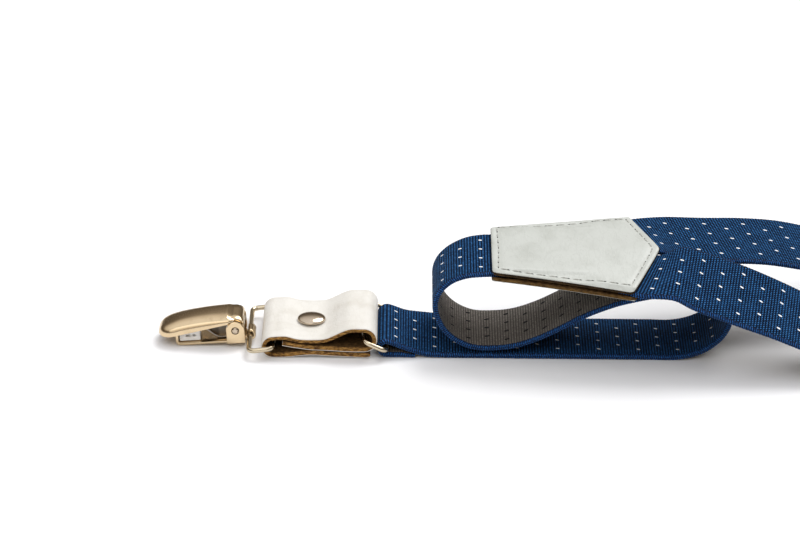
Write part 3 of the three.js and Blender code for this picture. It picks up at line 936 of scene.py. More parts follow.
def strip_rings(
    line: np.ndarray, across: np.ndarray, outline: np.ndarray, thin: np.ndarray | float = 1.0
) -> np.ndarray:
    """Sweep a strip's cross-section along a line.

    Args:
        line: The middle of the strip.
        across: The direction of its width, for each point or for all. Its length stretches the outline.
        outline: The cross-section, as rows of across and up.
        thin: How thick it is at each point, as a share of the outline.

    Returns:
        The rings.
    """
    across = np.broadcast_to(across, line.shape)
    up = unit(np.cross(np.gradient(line, axis=0), across))
    heights = outline[None, :, 1] * np.broadcast_to(np.asarray(thin, float), (len(line),))[:, None]
    return line[:, None] + across[:, None] * outline[None, :, 0, None] + up[:, None] * heights[..., None]


# ---------------------------------------------------------------- webbing


@dataclass
class Webbing:
    """A strap of webbing, with its face, its lining and two woven edges."""

    finishes: Finishes
    width: float = 25.0
    thickness: float = 1.6
    row: float = 0.5
    rib: float = 0.06  # how far the cords of an edge stand out

    def piece(
        self,
        name: str,
        line: np.ndarray,
        across: np.ndarray,
        thin: Callable[[np.ndarray], np.ndarray],
        weave: Callable[[np.ndarray], np.ndarray],
    ) -> tuple[bpy.types.Object, float]:
        """Make a strap.

        Args:
            name: Its name.
            line: Points along its middle.
            across: The direction of its width at each of them.
            thin: Gives its thickness as a share, from the distances along it.
            weave: Gives the places in the weave's own pattern, from the distances along it.

        Returns:
            The strap's object, and its length.
        """
        along, middle, width = even(line, self.row, across)
        outline, sides = strip_section(self.width, self.thickness, self.thickness / 2, 12, 4)
        rings = strip_rings(middle, width, outline, thin(along))
        at_edge = np.abs(outline[:, 0]) > self.width / 2 - self.thickness / 2
        outward = unit(width)[:, None] * np.sign(outline[:, 0])[None, :, None]
        alternate = np.where(np.arange(len(along)) % 2 == 0, 1.0, -1.0)[:, None, None]
        rings = rings + outward * alternate * at_edge[None, :, None] * self.rib
        distance = np.broadcast_to(weave(along)[:, None], rings.shape[:2])
        on_face = np.stack([distance, np.broadcast_to(outline[:, 0], distance.shape)], -1)
        on_edge = np.stack([distance, np.broadcast_to(outline[:, 1], distance.shape)], -1)
        places = {int(Side.UPPER): on_face, int(Side.LOWER): on_face, int(Side.EDGE): on_edge}
        form = Form().loft(rings, sides=sides, places=places)
        materials = [self.finishes.face, self.finishes.edge, self.finishes.lining]
        return form.piece(name, materials, crease=80), float(along[-1])

    def declare(self, strap: bpy.types.Object, length: float, node: str) -> None:
        """Put a strap on the straps body, hide the node that it replaces, and log its length.

        Args:
            strap: The strap.
            length: Its length.
            node: The node that it replaces.
        """
        belongs(strap, "straps", "webbing", node)
        self.width * MM
        length * MM
        log.info("%s is %.1f mm long", node, length)


@dataclass
class BackPatch:
    """Two leathers sewn over the ends of the three straps."""

    finishes: Finishes
    left: float = -20.0
    corner: float = 20.0
    tip: float = 8.0
    left_half: float = 14.2
    corner_half: float = 21.0
    height: float = 26.8
    leather: float = 1.2
    between: float = 1.05  # from the middle of the webbing to the leather
    near_slope: tuple[float, float] = (0.005, 0.215)
    far_slope: tuple[float, float] = (0.085, 0.045)
    softness: float = 1.5
    round_corner: float = 0.09
    stitch_pitch: float = 3.3
    stitch_length: float = 2.5
    thread: float = 0.2
    # radius of the near-black blob of painted shade at each needle hole
    hole: float = 0.23
    inset: float = 2.0
    half_length: float = 23.0  # mean, where a share along the patch becomes a distance
    half_width: float = 17.5  # mean, where a share across it does
    beside_rear: tuple[float, float] = (12.7, 14.6)  # across, from the rear strap's edge to bare leather
    before_front: tuple[float, float] = (4.0, 12.0)  # along, from there on the front straps fill the patch
    bare_rim: tuple[float, float] = (1.7, 0.5)  # from the edge, where the leathers close on each other
    closing: float = 0.6  # how far each leather sinks where no webbing holds it up
    seam_dent: float = 0.24
    rim_dent: float = 0.1

    def middle(self, x: np.ndarray, y: np.ndarray) -> np.ndarray:
        """Give the height of the webbing's middle inside the patch.

        Args:
            x: Places along the patch.
            y: Places across it.

        Returns:
            The heights.
        """
        along = np.clip((x - self.left) / (self.corner + self.tip - self.left), 0, 1)
        near = (np.hypot(y, self.softness) - y - self.softness) / 2
        far = (np.hypot(y, self.softness) + y - self.softness) / 2
        near_slope = np.interp(along, (0, 1), self.near_slope)
        far_slope = np.interp(along, (0, 1), self.far_slope)
        return self.height + 0.8 * along - near_slope * near + far_slope * far

    def outline(self, along: np.ndarray, across: np.ndarray) -> tuple[np.ndarray, np.ndarray]:
        """Turn shares of the patch into places, with its corners rounded.

        Args:
            along: From -1 at the rear strap to 1 at the front straps.
            across: From -1 at the right edge to 1 at the left.

        Returns:
            X and Y.
        """
        reach = 1 - self.round_corner
        over_x = np.maximum(np.abs(along) - reach, 0)
        over_y = np.maximum(np.abs(across) - reach, 0)
        size = np.maximum(np.hypot(over_x, over_y), 1e-9)
        shrink = np.maximum(over_x, over_y) / size
        shrink = np.where((over_x > 0) & (over_y > 0), shrink, 1.0)
        along = np.sign(along) * (np.minimum(np.abs(along), reach) + over_x * shrink)
        across = np.sign(across) * (np.minimum(np.abs(across), reach) + over_y * shrink)
        share = (along + 1) / 2
        end = self.corner + self.tip * (1 - (np.hypot(across, 0.05) - 0.05) / 0.95)
        x = self.left + (end - self.left) * share
        y = across * (self.left_half + (self.corner_half - self.left_half) * share)
        return x, y

    def pinch(self, x: np.ndarray, y: np.ndarray) -> np.ndarray:
        """Find where no webbing lies between the leathers, so that they come together.

        Args:
            x: Places along the patch.
            y: Places across it.

        Returns:
            1 where they meet, 0 where webbing keeps them apart.
        """
        share = (x - self.left) / (self.corner - self.left)
        half = self.left_half + (self.corner_half - self.left_half) * share
        bare = steps_between(np.abs(y), *self.beside_rear) * (1 - steps_between(x, *self.before_front))
        return np.maximum(bare, steps_between(np.abs(y), half - self.bare_rim[0], half - self.bare_rim[1]))

    def rim(self, along: np.ndarray, across: np.ndarray) -> np.ndarray:
        """Measure the distance to the patch's edge.

        Args:
            along: Shares along the patch.
            across: Shares across it.

        Returns:
            The distances.
        """
        return np.minimum((1 - np.abs(along)) * self.half_length, (1 - np.abs(across)) * self.half_width)

    def shape(self, along: np.ndarray, across: np.ndarray, side: int) -> tuple[np.ndarray, ...]:
        """Give a leather's middle surface and half its thickness.

        Args:
            along: Shares along the patch.
            across: Shares across it.
            side: 1 for the top leather, -1 for the bottom one.

        Returns:
            X, Y, the middle's height and half the thickness.
        """
        x, y = self.outline(along, across)
        rim = self.rim(along, across)
        offset = self.between + self.leather / 2
        offset = offset - self.pinch(x, y) * self.closing
        offset = offset - self.seam_dent * np.exp(-(((rim - self.inset) / 0.6) ** 2))
        offset = offset - self.rim_dent * (1 - steps_between(rim, 0, self.inset))
        rounded = np.sqrt(np.clip(1 - (1 - np.clip(rim / 0.55, 0, 1)) ** 2, 0.1, 1))
        return x, y, self.middle(x, y) + side * offset, self.leather / 2 * rounded

    def leather_piece(self, name: str, side: int) -> bpy.types.Object:
        """Make one leather.

        Args:
            name: Its name.
            side: 1 for the top leather, -1 for the bottom one.

        Returns:
            The leather's object.
        """
        close = np.array([0, 0.004, 0.012, 0.026, 0.05])
        along = np.concatenate([close - 1, np.linspace(-0.93, 0.93, 70), (1 - close)[::-1]])
        close = close * 1.3
        across = np.concatenate([close - 1, np.linspace(-0.92, 0.92, 60), (1 - close)[::-1]])
        s, t = np.meshgrid(along, across, indexing="ij")
        x, y, z, half = self.shape(s, t, side)
        upper = np.stack([x, y, z + half], -1)
        lower = np.stack([x, y, z - half], -1)
        rings = np.concatenate([upper, lower[:, ::-1]], 1)
        columns = len(across)
        outer_first = (Side.UPPER, Side.LOWER) if side > 0 else (Side.LOWER, Side.UPPER)
        sides = np.repeat([int(finish) for finish in outer_first], columns)
        sides[[0, columns - 2, columns - 1, columns, -2, -1]] = Side.EDGE
        form = Form().loft(rings, cap=Cap.SHELL, sides=sides)
        first_row, last_row = 2 * columns, (len(along) - 2) * 2 * columns
        form.finishes[:first_row] = [int(Side.EDGE)] * first_row
        form.finishes[last_row:] = [int(Side.EDGE)] * (len(form.finishes) - last_row)
        edge = self.finishes.upper_edge if side > 0 else self.finishes.lower_edge
        materials = [self.finishes.patch, edge, self.finishes.flesh]
        return form.piece(name, materials, crease=75)

    def stitch(self, form: Form, line: np.ndarray, side: int) -> None:
        """Add one stitch that dips into the leather at both ends.

        Args:
            form: The thread's form.
            line: The stitch's points on the leather.
            side: 1 for the top leather, -1 for the bottom one.
        """
        share = np.linspace(0, 1, len(line))
        rise = self.thread * (1.1 * np.sin(math.pi * share) ** 0.5 - 0.75)
        line = line + np.array([0, 0, side]) * rise[:, None]
        form.loft(*tube(line, self.thread * np.sqrt(np.clip(np.sin(math.pi * share), 0.15, 1))))
        # A near-black blob at the stitch's end stands in for the needle hole's shade: painted shade.
        heading = unit(line[-1] - line[-3])
        end = line[-1] + np.array([0, 0, side]) * self.hole * 0.3
        ends = end + heading * np.linspace(-2.2, 2.2, 5)[:, None] * self.hole
        rings, cap, _, places = tube(ends, self.hole * np.array([0.3, 0.85, 1.0, 0.85, 0.3]), turns=8)
        form.loft(rings, cap, 1, {1: places[0]})

    def seam(self, side: int) -> Form:
        """Sew round the patch.

        Args:
            side: 1 for the top leather, -1 for the bottom one.

        Returns:
            The thread's form.
        """
        a = 1 - self.inset / self.half_length
        b = 1 - self.inset / self.half_width
        corners = [(a, 0), (a, b), (-a, b), (-a, -b), (a, -b), (a, 0)]
        form = Form()
        for (s0, t0), (s1, t1) in zip(corners, corners[1:]):
            share = np.linspace(0, 1, 400)
            s, t = s0 + (s1 - s0) * share, t0 + (t1 - t0) * share
            x, y, z, half = self.shape(s, t, side)
            line = np.stack([x, y, z + side * half], -1)
            at = distances(line)
            count = max(1, round(at[-1] / self.stitch_pitch))
            pitch = at[-1] / count
            for number in range(count):
                start = number * pitch + (pitch - self.stitch_length) / 2
                wanted = np.linspace(start, start + self.stitch_length, 13)
                self.stitch(form, np.stack([np.interp(wanted, at, part) for part in line.T], 1), side)
        return form

    def build(self) -> None:
        """Make both leathers and their seams."""
        for name, side in (("patch_top", 1), ("patch_bottom", -1)):
            leather = self.leather_piece(f"{name}_leather_sewn", side)
            belongs(leather, "straps", "leather", f"{name}_leather")
            # The second look is the painted shade of the needle holes.
            looks = [self.finishes.shaded_white_thread, self.finishes.hole]
            belongs(self.seam(side).piece(f"{name}_stitching", looks), "straps", "leather")


def tube(line: np.ndarray, radius: np.ndarray | float, looped: bool = False, turns: int = 12) -> tuple:
    """Sweep a circle along a line.

    Args:
        line: The middle of the tube.
        radius: Its radius, or one for each point.
        looped: Whether the line closes on itself.
        turns: How many sides the tube has.

    Returns:
        What Form.loft takes: the rings, the cap, the finish and the map places.
    """
    if looped:
        ahead = np.roll(line, -1, 0) - np.roll(line, 1, 0)
    else:
        ahead = np.gradient(line, axis=0)
    ahead = unit(ahead)
    centre = line.mean(0)
    plane = np.cross(line[0] - centre, line[len(line) // 3] - centre)
    hint = plane if looped else np.array([0.03, 0.02, 1.0])
    side = unit(np.cross(ahead, np.broadcast_to(hint, ahead.shape)))
    up = np.cross(side, ahead)
    angle = 2 * math.pi * np.arange(turns) / turns
    size = np.broadcast_to(np.asarray(radius, float), (len(line),))[:, None, None]
    spoke = side[:, None] * np.cos(angle)[None, :, None] + up[:, None] * np.sin(angle)[None, :, None]
    rings = line[:, None] + spoke * size
    along = np.broadcast_to(distances(line)[:, None], rings.shape[:2])
    turn = np.broadcast_to(np.arange(turns) / turns * 2, rings.shape[:2])
    return rings, Cap.LOOPED if looped else Cap.FLAT, 0, {0: np.stack([along, turn], -1)}


@dataclass
class RearStrap:
    """The rear strap: it runs along the table, bends back over itself and curls up to the patch."""

    webbing: Webbing
    patch: BackPatch
    loop_x: float = -49.6
    sewn: float = 8.2
    sewn_thickness: float = 1.0
    loop_radius: float = 2.05
    end: float = -2.0
    lifted_edge: float = 0.055  # how steeply the lower run's far edge lifts beside the ring
    crept: tuple[tuple[float, float], ...] = ((0, -2.6), (20, -2.6), (75, -3.47), (180, -1.1), (250, -0.95))
    steps: int = 16

    def route(self) -> np.ndarray:
        """Give the middle of the strap.

        Returns:
            Its points, as rows of X and Z.
        """
        low = self.webbing.thickness / 2
        start = self.loop_x + self.sewn
        loop = arc(self.loop_x, low + self.loop_radius, self.loop_radius, 270, 90, 8)
        return np.vstack([
            [(start, self.sewn_thickness / 2), (start - 2.2, 0.65), (start - 4.4, low)],
            loop,
            [(self.loop_x + 4.6, 3.25), (self.loop_x + 7.2, 2.25), (self.loop_x + 10.6, 1.2)],
            [(-34.5, low), (-20, low), (10, low), (26, low), (33, low)],
            [(38.4, 2.0), (42.6, 4.2), (46.2, 7.8), (48.0, 12.0), (47.4, 16.0), (44.6, 19.2)],
            [(40.2, 20.8), (34.5, 21.0), (28, 20.2), (21.5, 18.9), (14.8, 17.0), (6.2, 13.3)],
            [(-0.4, 9.5), (-6.6, 6.3), (-13.1, 4.0), (-19.6, 3.2), (-25.2, 3.55), (-30.6, 6.2)],
            [(-34.1, 10.2), (-35.9, 15.9), (-34.9, 20.2), (-31.9, 23.6), (-27.3, 25.9)],
            [(-22.5, 26.7), (-18, self.patch.height)],
        ])

    def build(self) -> None:
        """Make the strap."""
        flat = self.route()
        line = smooth(at_y(flat), self.steps)
        x = np.linspace(line[-1, 0], self.end, 30)[1:]
        line = np.vstack([line, np.stack([x, 0 * x, self.patch.middle(x, 0 * x)], 1)])
        turned_top = int(np.argmax((line[:, 2] > 22) & (line[:, 0] < -30)))
        blend = steps_between(line[:, 0], -34, self.patch.left - 2)
        blend[:turned_top] = 0
        half = self.webbing.width / 2
        far = self.patch.middle(line[:, 0], np.full(len(line), half))
        near = self.patch.middle(line[:, 0], np.full(len(line), -half))
        tilt = (far - near) / (2 * half) * blend
        on_table = np.arange(len(line)) < int(np.argmax(line[:, 0] > 0))
        lifted = steps_between(line[:, 0], -46, -38) * (1 - steps_between(line[:, 0], -29, -20))
        roll = self.lifted_edge * lifted * on_table * (line[:, 2] < 4)
        roll[:self.steps * 6] = 0
        line[:, 2] += roll * half
        across = np.stack([0 * tilt, 0 * tilt + 1, tilt + roll], 1)

        def thin(along: np.ndarray) -> np.ndarray:
            """Thin the sewn end down."""
            start = self.sewn_thickness / self.webbing.thickness
            return start + (1 - start) * np.clip(along / 4.4, 0, 1)

        def weave(along: np.ndarray) -> np.ndarray:
            """Shift the pattern where the webbing is stretched or slack."""
            return along + np.interp(along, *zip(*self.crept))

        strap, length = self.webbing.piece("rear_strap_webbing", line, across, thin, weave)
        self.webbing.declare(strap, length, "rear_strap")


@dataclass(frozen=True)
class Way:
    """Where one front strap leaves the patch, comes down to the table and lies in its stack."""

    inside: tuple[tuple[tuple[float, float], tuple[float, float]], ...]
    places: tuple[tuple[tuple[float, float, float], float, float], ...]
    stack: tuple[float, float]
    yaw: float
    stretch: float  # of the weave
    phase: float  # of the weave at the sewn end

    def on_table(self, distance: float, height: float) -> tuple[float, float, float]:
        """Give a place along the stack.

        Args:
            distance: The distance along it.
            height: The height above the table.

        Returns:
            The place.
        """
        turn = math.radians(self.yaw)
        return (
            self.stack[0] + distance * math.cos(turn),
            self.stack[1] + distance * math.sin(turn),
            height,
        )


LEFT_WAY = Way(
    inside=(((15.5, 18.8), (23, 0.8)), ((21.6, 21.6), (28.7, 0.8))),
    places=(
        ((33.6, 13.5, 25.9), 15, 9),
        ((44.7, 15.8, 25.1), 14, 7),
        ((56.2, 18.4, 23.9), 13.5, 7.5),
        ((67.7, 21.1, 21.5), 13, 9.5),
        ((82, 24.3, 17.1), 13, 8),
        ((97, 27.5, 11.4), 12, 2),
        ((111, 30.3, 6.2), 11, 1),
        ((124, 32.8, 2.7), 11, 0),
        ((136, 35.1, 1.1), 11, 0),
    ),
    stack=(147, 37.2),
    yaw=11,
    stretch=1.023,
    phase=0.5,
)
RIGHT_WAY = Way(
    inside=(((23, -0.8), (15.5, -18.8)), ((28.7, -0.8), (21.8, -20.6))),
    places=(
        ((33.2, -9.5, 26.0), -9.5, 12),
        ((38.7, -9.9, 24.0), -10, 15.5),
        ((50, -11.3, 20.4), -9.5, 17),
        ((61.6, -12.6, 16.2), -9, 14.5),
        ((75, -14.0, 10.6), -8.5, 11),
        ((89, -15.6, 5.4), -8, 5),
        ((103, -17.2, 2.2), -8, 1),
        ((117, -19.1, 1.0), -8, 0),
    ),
    stack=(147, -23.3),
    yaw=-8,
    stretch=1.055,
    phase=6.8,
)


@dataclass
class FrontStrap:
    """A front strap: down from the patch, folded into a stack, and turned back through its ring."""

    webbing: Webbing
    patch: BackPatch
    side: str
    way: Way
    fold_run: float = 110.0
    fold_radius: float = 2.3
    folds: int = 4
    layer: float = 2.1
    doubled: float = 48.0
    loop_radius: float = 2.05
    slider_plate: float = 0.8
    fit: float = 0.3
    loop_at: float = 190.0

    def heights(self) -> tuple[float, float, float]:
        """Give the heights of the webbing's middle: on the table, and low and high in the slider."""
        low = self.webbing.thickness / 2
        level = self.slider_plate + self.fit + low
        return low, level, level + self.layer

    def stack_route(self) -> list[tuple[float, float]]:
        """Give the folds, the way down and the doubled end.

        Returns:
            Distances along the stack and heights.
        """
        low, level_low, level_high = self.heights()
        left = right = low
        turn_at = self.fold_radius + low
        route = [(0.0, low), (self.fold_run / 2, low)]
        for fold in range(self.folds):
            at_right = fold % 2 == 0
            facing = 1 if at_right else -1
            at = self.fold_run if at_right else turn_at
            bottom = right if at_right else left
            for angle in np.linspace(0, math.pi, 7):
                rise = self.fold_radius * (1 - math.cos(angle))
                route.append((at + facing * self.fold_radius * math.sin(angle), bottom + rise))
            left += self.layer if at_right else 2 * self.fold_radius
            right += 2 * self.fold_radius if at_right else self.layer
            route.append((self.fold_run / 2, (left + right) / 2))
        way_down = right - level_high
        for share, reach in ((1, 0), (0.9, 6), (0.62, 12), (0.3, 17), (0.08, 22), (0, 28)):
            route.append((self.fold_run + reach, level_high + way_down * share))
        loop_z = low + self.loop_radius
        level_end = self.loop_at - 12
        route += [(level_end, level_high), (self.loop_at - 5, loop_z + self.loop_radius - 0.2)]
        route += [tuple(p) for p in arc(self.loop_at, loop_z, self.loop_radius, 90, -90, 8)]
        route += [(self.loop_at - 5, low + 0.2), (level_end, level_low)]
        return route + [(self.loop_at - self.doubled, level_low)]

    def build(self) -> None:
        """Make the strap."""
        far, near = [], []
        for pair in self.way.inside:
            for edge, (x, y) in zip((far, near), pair):
                edge.append((x, y, float(self.patch.middle(np.float64(x), np.float64(y)))))
        flat = [(self.way.on_table(*step), self.way.yaw, 0.0) for step in self.stack_route()]
        for centre, turn_degrees, roll_degrees in (*self.way.places, *flat):
            turn, roll = math.radians(turn_degrees), math.radians(roll_degrees)
            level = math.cos(roll)
            width = np.array([-math.sin(turn) * level, math.cos(turn) * level, math.sin(roll)])
            far.append(np.array(centre) + width * self.webbing.width / 2)
            near.append(np.array(centre) - width * self.webbing.width / 2)
        far_edge, near_edge = smooth(far, 14), smooth(near, 14)
        line = (far_edge + near_edge) / 2
        name = f"front_strap_{self.side}"
        strap, length = self.webbing.piece(
            f"{name}_webbing", line, (far_edge - near_edge) / self.webbing.width,
            lambda along: np.ones_like(along), lambda along: along / self.way.stretch + self.way.phase,
        )
        self.webbing.declare(strap, length, name)


@dataclass
class Adjuster:
    """The flat metal band round the doubled end, with a rolled rim."""

    finishes: Finishes
    strap: FrontStrap
    length: float = 12.0
    side: float = 1.0
    back_from_loop: float = 30.0

    def build(self) -> None:
        """Make the adjuster."""
        strap = self.strap
        half_inside = strap.webbing.width / 2 + strap.fit
        half = half_inside + self.side
        low, _, level_high = strap.heights()
        roof = level_high + low + strap.fit
        top = roof + strap.slider_plate
        outer = rounded_box(half, 0, top, 1.5)
        inner = rounded_box(half_inside, strap.slider_plate, roof, 0.8)
        reach = self.length / 2
        stations = [(-reach, 0.25), (-reach + 0.25, 0.0), (-reach + 1.5, 0.0), (-reach + 1.9, 0.14)]
        stations += [(reach - 1.9, 0.14), (reach - 1.5, 0.0), (reach - 0.25, 0.0), (reach, 0.25)]
        middle = np.array([0.0, top / 2])
        outside = [[(x, *p) for p in outer - unit(outer - middle) * shrink] for x, shrink in stations]
        inside = [[(x, *p) for p in inner] for x, _ in reversed(stations)]
        form = Form().loft(np.array(outside + inside), cap=Cap.LOOPED)
        name = f"slider_{self.strap.side}"
        x, y, _ = strap.way.on_table(strap.loop_at - self.back_from_loop, 0)
        piece = form.piece(f"{name}_band", [self.finishes.nickel], turned(x, y, 0, strap.way.yaw), 40)
        belongs(piece, f"{strap.side}_adjuster", "nickel", name)


def rounded_box(half: float, bottom: float, top: float, radius: float) -> np.ndarray:
    """Make a rectangle with round corners, across Y and up Z.

    Args:
        half: Half its width.
        bottom: Its lowest Z.
        top: Its highest Z.
        radius: The radius of its corners.

    Returns:
        The points, counter-clockwise, as rows of Y and Z.
    """
    radius = min(radius, (top - bottom) / 2)
    corners = []
    for y, z, start in ((1, 1, 0), (-1, 1, 90), (-1, -1, 180), (1, -1, 270)):
        centre_z = top - radius if z > 0 else bottom + radius
        corners.append(arc(y * (half - radius), centre_z, radius, start, start + 90, 8))
    return np.vstack(corners)


# ---------------------------------------------------------------- ring, tab, wire loop and clip


@dataclass
class EndFittings:
    """What hangs on a strap's end: the ring, the riveted leather tab, the wire loop and the clip."""

    finishes: Finishes
    prefix: str
    place: np.ndarray
    tab_width: float = 26.6
    leather: float = 1.4
    rounded_end: float = 1.6
    arm_clearance: float = 0.35
    ring_wire: float = 0.7
    loop_wire: float = 0.75
    wire_corner: float = 1.9
    tab_ring_radius: float = 3.05
    tab_loop_radius: float = 2.7
    ring_bar: tuple[float, float] = (0.0, 2.85)
    tab_ring_bar: tuple[float, float] = (-6.4, 5.8)
    tab_loop_bar: tuple[float, float] = (-32.4, 3.45)
    clip_bar: tuple[float, float] = (-39.3, 2.5)
    rivet_x: float = -21.7
    rivet_top: float = 6.02
    rivet_bottom: float = 0.6
    cap_radius: float = 4.05
    cap_height: float = 1.4
    flange_radius: float = 3.2
    post_radius: float = 1.5

    def wire(self, name: str, body: str, bars: tuple, radius: float) -> None:
        """Make a wire rectangle with round corners.

        Args:
            name: The node that it replaces.
            body: The body that carries it.
            bars: The X and Z of its two long bars.
            radius: The wire's radius.
        """
        first, second = (np.array([bar[0], 0, bar[1]]) for bar in bars)
        length = float(np.linalg.norm(second - first))
        along = (second - first) / length
        middle = (first + second) / 2
        half = self.tab_width / 2 + self.arm_clearance + radius
        corner = min(self.wire_corner, length / 3)
        centres = []
        for quarter, (sign_along, sign_across) in enumerate(((1, 1), (-1, 1), (-1, -1), (1, -1))):
            for angle in np.radians(np.linspace(90 * quarter, 90 * quarter + 90, 9)):
                a = sign_along * (length / 2 - corner) + corner * math.cos(angle)
                b = sign_across * (half - corner) + corner * math.sin(angle)
                centres.append(middle + along * a + np.array([0, b, 0]))
        form = Form().loft(*tube(self.subdivided(np.array(centres)), radius, looped=True, turns=20))
        piece = form.piece(f"{name}_wire", [self.finishes.wire], self.place)
        belongs(piece, body, "nickel", name)

    @staticmethod
    def subdivided(loop: np.ndarray) -> np.ndarray:
        """Add points along the straight bars of a loop.

        Args:
            loop: The loop's points.

        Returns:
            The points with gaps of at most 1.5 mm.
        """
        kept = []
        for here, there in zip(loop, np.roll(loop, -1, 0)):
            count = max(1, math.ceil(float(np.linalg.norm(there - here)) / 1.5))
            kept += [here + (there - here) * share for share in np.arange(count) / count]
        return np.array(kept)

    def tab_route(self) -> np.ndarray:
        """Give the middle of the tab's strip, from its inner end to its lower one.

        Returns:
            Its points, as rows of X and Z.
        """
        ring_x, ring_z = self.tab_ring_bar
        loop_x, loop_z = self.tab_loop_bar
        rivet = self.rivet_x
        return np.vstack([
            [(loop_x + 2.7, 4.45), (loop_x + 6.5, 3.8), (rivet, 3.25), (rivet + 5, 3.05)],
            [(ring_x - 5, 2.75)],
            arc(ring_x, ring_z, self.tab_ring_radius, -90, 90, 10),
            [(ring_x - 4.0, 8.35), (ring_x - 6.6, 7.3), (ring_x - 9.0, 6.05), (ring_x - 11.2, 5.15)],
            [(rivet, 4.85), (rivet - 4.1, 5.1), (loop_x + 3.1, 6.05)],
            arc(loop_x, loop_z, self.tab_loop_radius, 90, 270, 10),
            [(loop_x + 3.5, 0.85), (loop_x + 7, 1.25), (rivet, 1.6), (rivet + 4.8, 1.4)],
            [(ring_x - 5, 1.15), (ring_x + 0.2, 0.95), (ring_x + 1.8, 1.0)],
        ])

    def tab(self) -> None:
        """Make the leather tab: one strip wrapped round the ring and the wire loop."""
        flat = self.tab_route()
        _, line = even(smooth(at_y(flat), 12), 0.4)
        turns = 3
        outline, sides = strip_section(self.tab_width, self.leather, 0.28, 24, turns)
        lower = np.flatnonzero(sides == Side.LOWER)
        for corner in (lower[0] - turns, lower[-1] + 1):
            sides[corner:corner + turns] = Side.LOWER
        from_end = distances(line)[-1] - distances(line)
        thin = np.sqrt(1 - (1 - np.clip(from_end / self.rounded_end, 0, 1)) ** 2 * 0.92)
        rings = strip_rings(line, ACROSS, outline, thin)
        on_top = (line[:, 0] < self.tab_ring_bar[0]) & (line[:, 2] > 4.7)
        on_top &= line[:, 0] > self.tab_loop_bar[0]
        fade = steps_between(line[:, 0], self.tab_loop_bar[0], self.tab_loop_bar[0] + 5)
        fade = fade * (1 - steps_between(line[:, 0], self.tab_ring_bar[0] - 5, self.tab_ring_bar[0]))
        off = np.hypot(rings[..., 1], rings[..., 0] - self.rivet_x)
        puff = 0.45 * steps_between(off, self.cap_radius, 11) * (on_top * fade)[:, None]
        rings[..., 2] += puff
        form = Form().loft(rings, sides=sides)
        materials = [self.finishes.flesh, self.finishes.raw, self.finishes.grain]
        piece = form.piece(f"{self.prefix}_tab_leather", materials, self.place, 60)
        belongs(piece, f"{self.prefix}_tab", "leather", f"{self.prefix}_leather_tab")

    def rivet(self) -> None:
        """Make the rivet's cap and its post."""
        radius, height, base = self.cap_radius, self.cap_height, self.rivet_top
        profile = [(radius - 0.2, base), (radius, base + 0.15), (radius, base + 0.3)]
        for angle in np.radians(np.linspace(8, 88, 12)):
            profile.append((radius * math.cos(angle), base + height * (0.25 + 0.75 * math.sin(angle))))
        self.riveted(profile, "dome", "cap", self.finishes.cap)
        low, wide = self.rivet_bottom, self.flange_radius
        profile = [(0.6, low - 0.5), (wide - 0.15, low - 0.5), (wide, low - 0.35), (wide, low - 0.1)]
        profile += [(wide - 0.15, low), (self.post_radius, low), (self.post_radius, base - 0.3)]
        self.riveted(profile, "foot", "post", self.finishes.nickel)

    def riveted(
        self, profile: Sequence[tuple[float, float]], name: str, node: str, look: bpy.types.Material
    ) -> None:
        """Make one half of the rivet.

        Args:
            profile: Its radii and heights, from the bottom to the top.
            name: The end of its name.
            node: The end of the name of the node that it replaces.
            look: Its material.
        """
        form = Form().loft(lathe(profile, 48) + [self.rivet_x, 0, 0])
        half = form.piece(f"{self.prefix}_rivet_{name}", [look], self.place, 40)
        belongs(half, f"{self.prefix}_tab", "nickel", f"{self.prefix}_rivet_{node}")

    def build(self) -> None:
        """Make every fitting of this end."""
        prefix = self.prefix
        ring, loop = (self.tab_ring_bar, self.ring_bar), (self.clip_bar, self.tab_loop_bar)
        self.wire(f"{prefix}_strap_ring", f"{prefix}_ring", ring, self.ring_wire)
        self.wire(f"{prefix}_clip_loop", f"{prefix}_loop", loop, self.loop_wire)
        self.tab()
        self.rivet()
        clip_place = self.place @ turned(self.clip_bar[0], -1.0, self.clip_bar[1], 0, -4.4)
        Clip(self.finishes, prefix, clip_place).build()


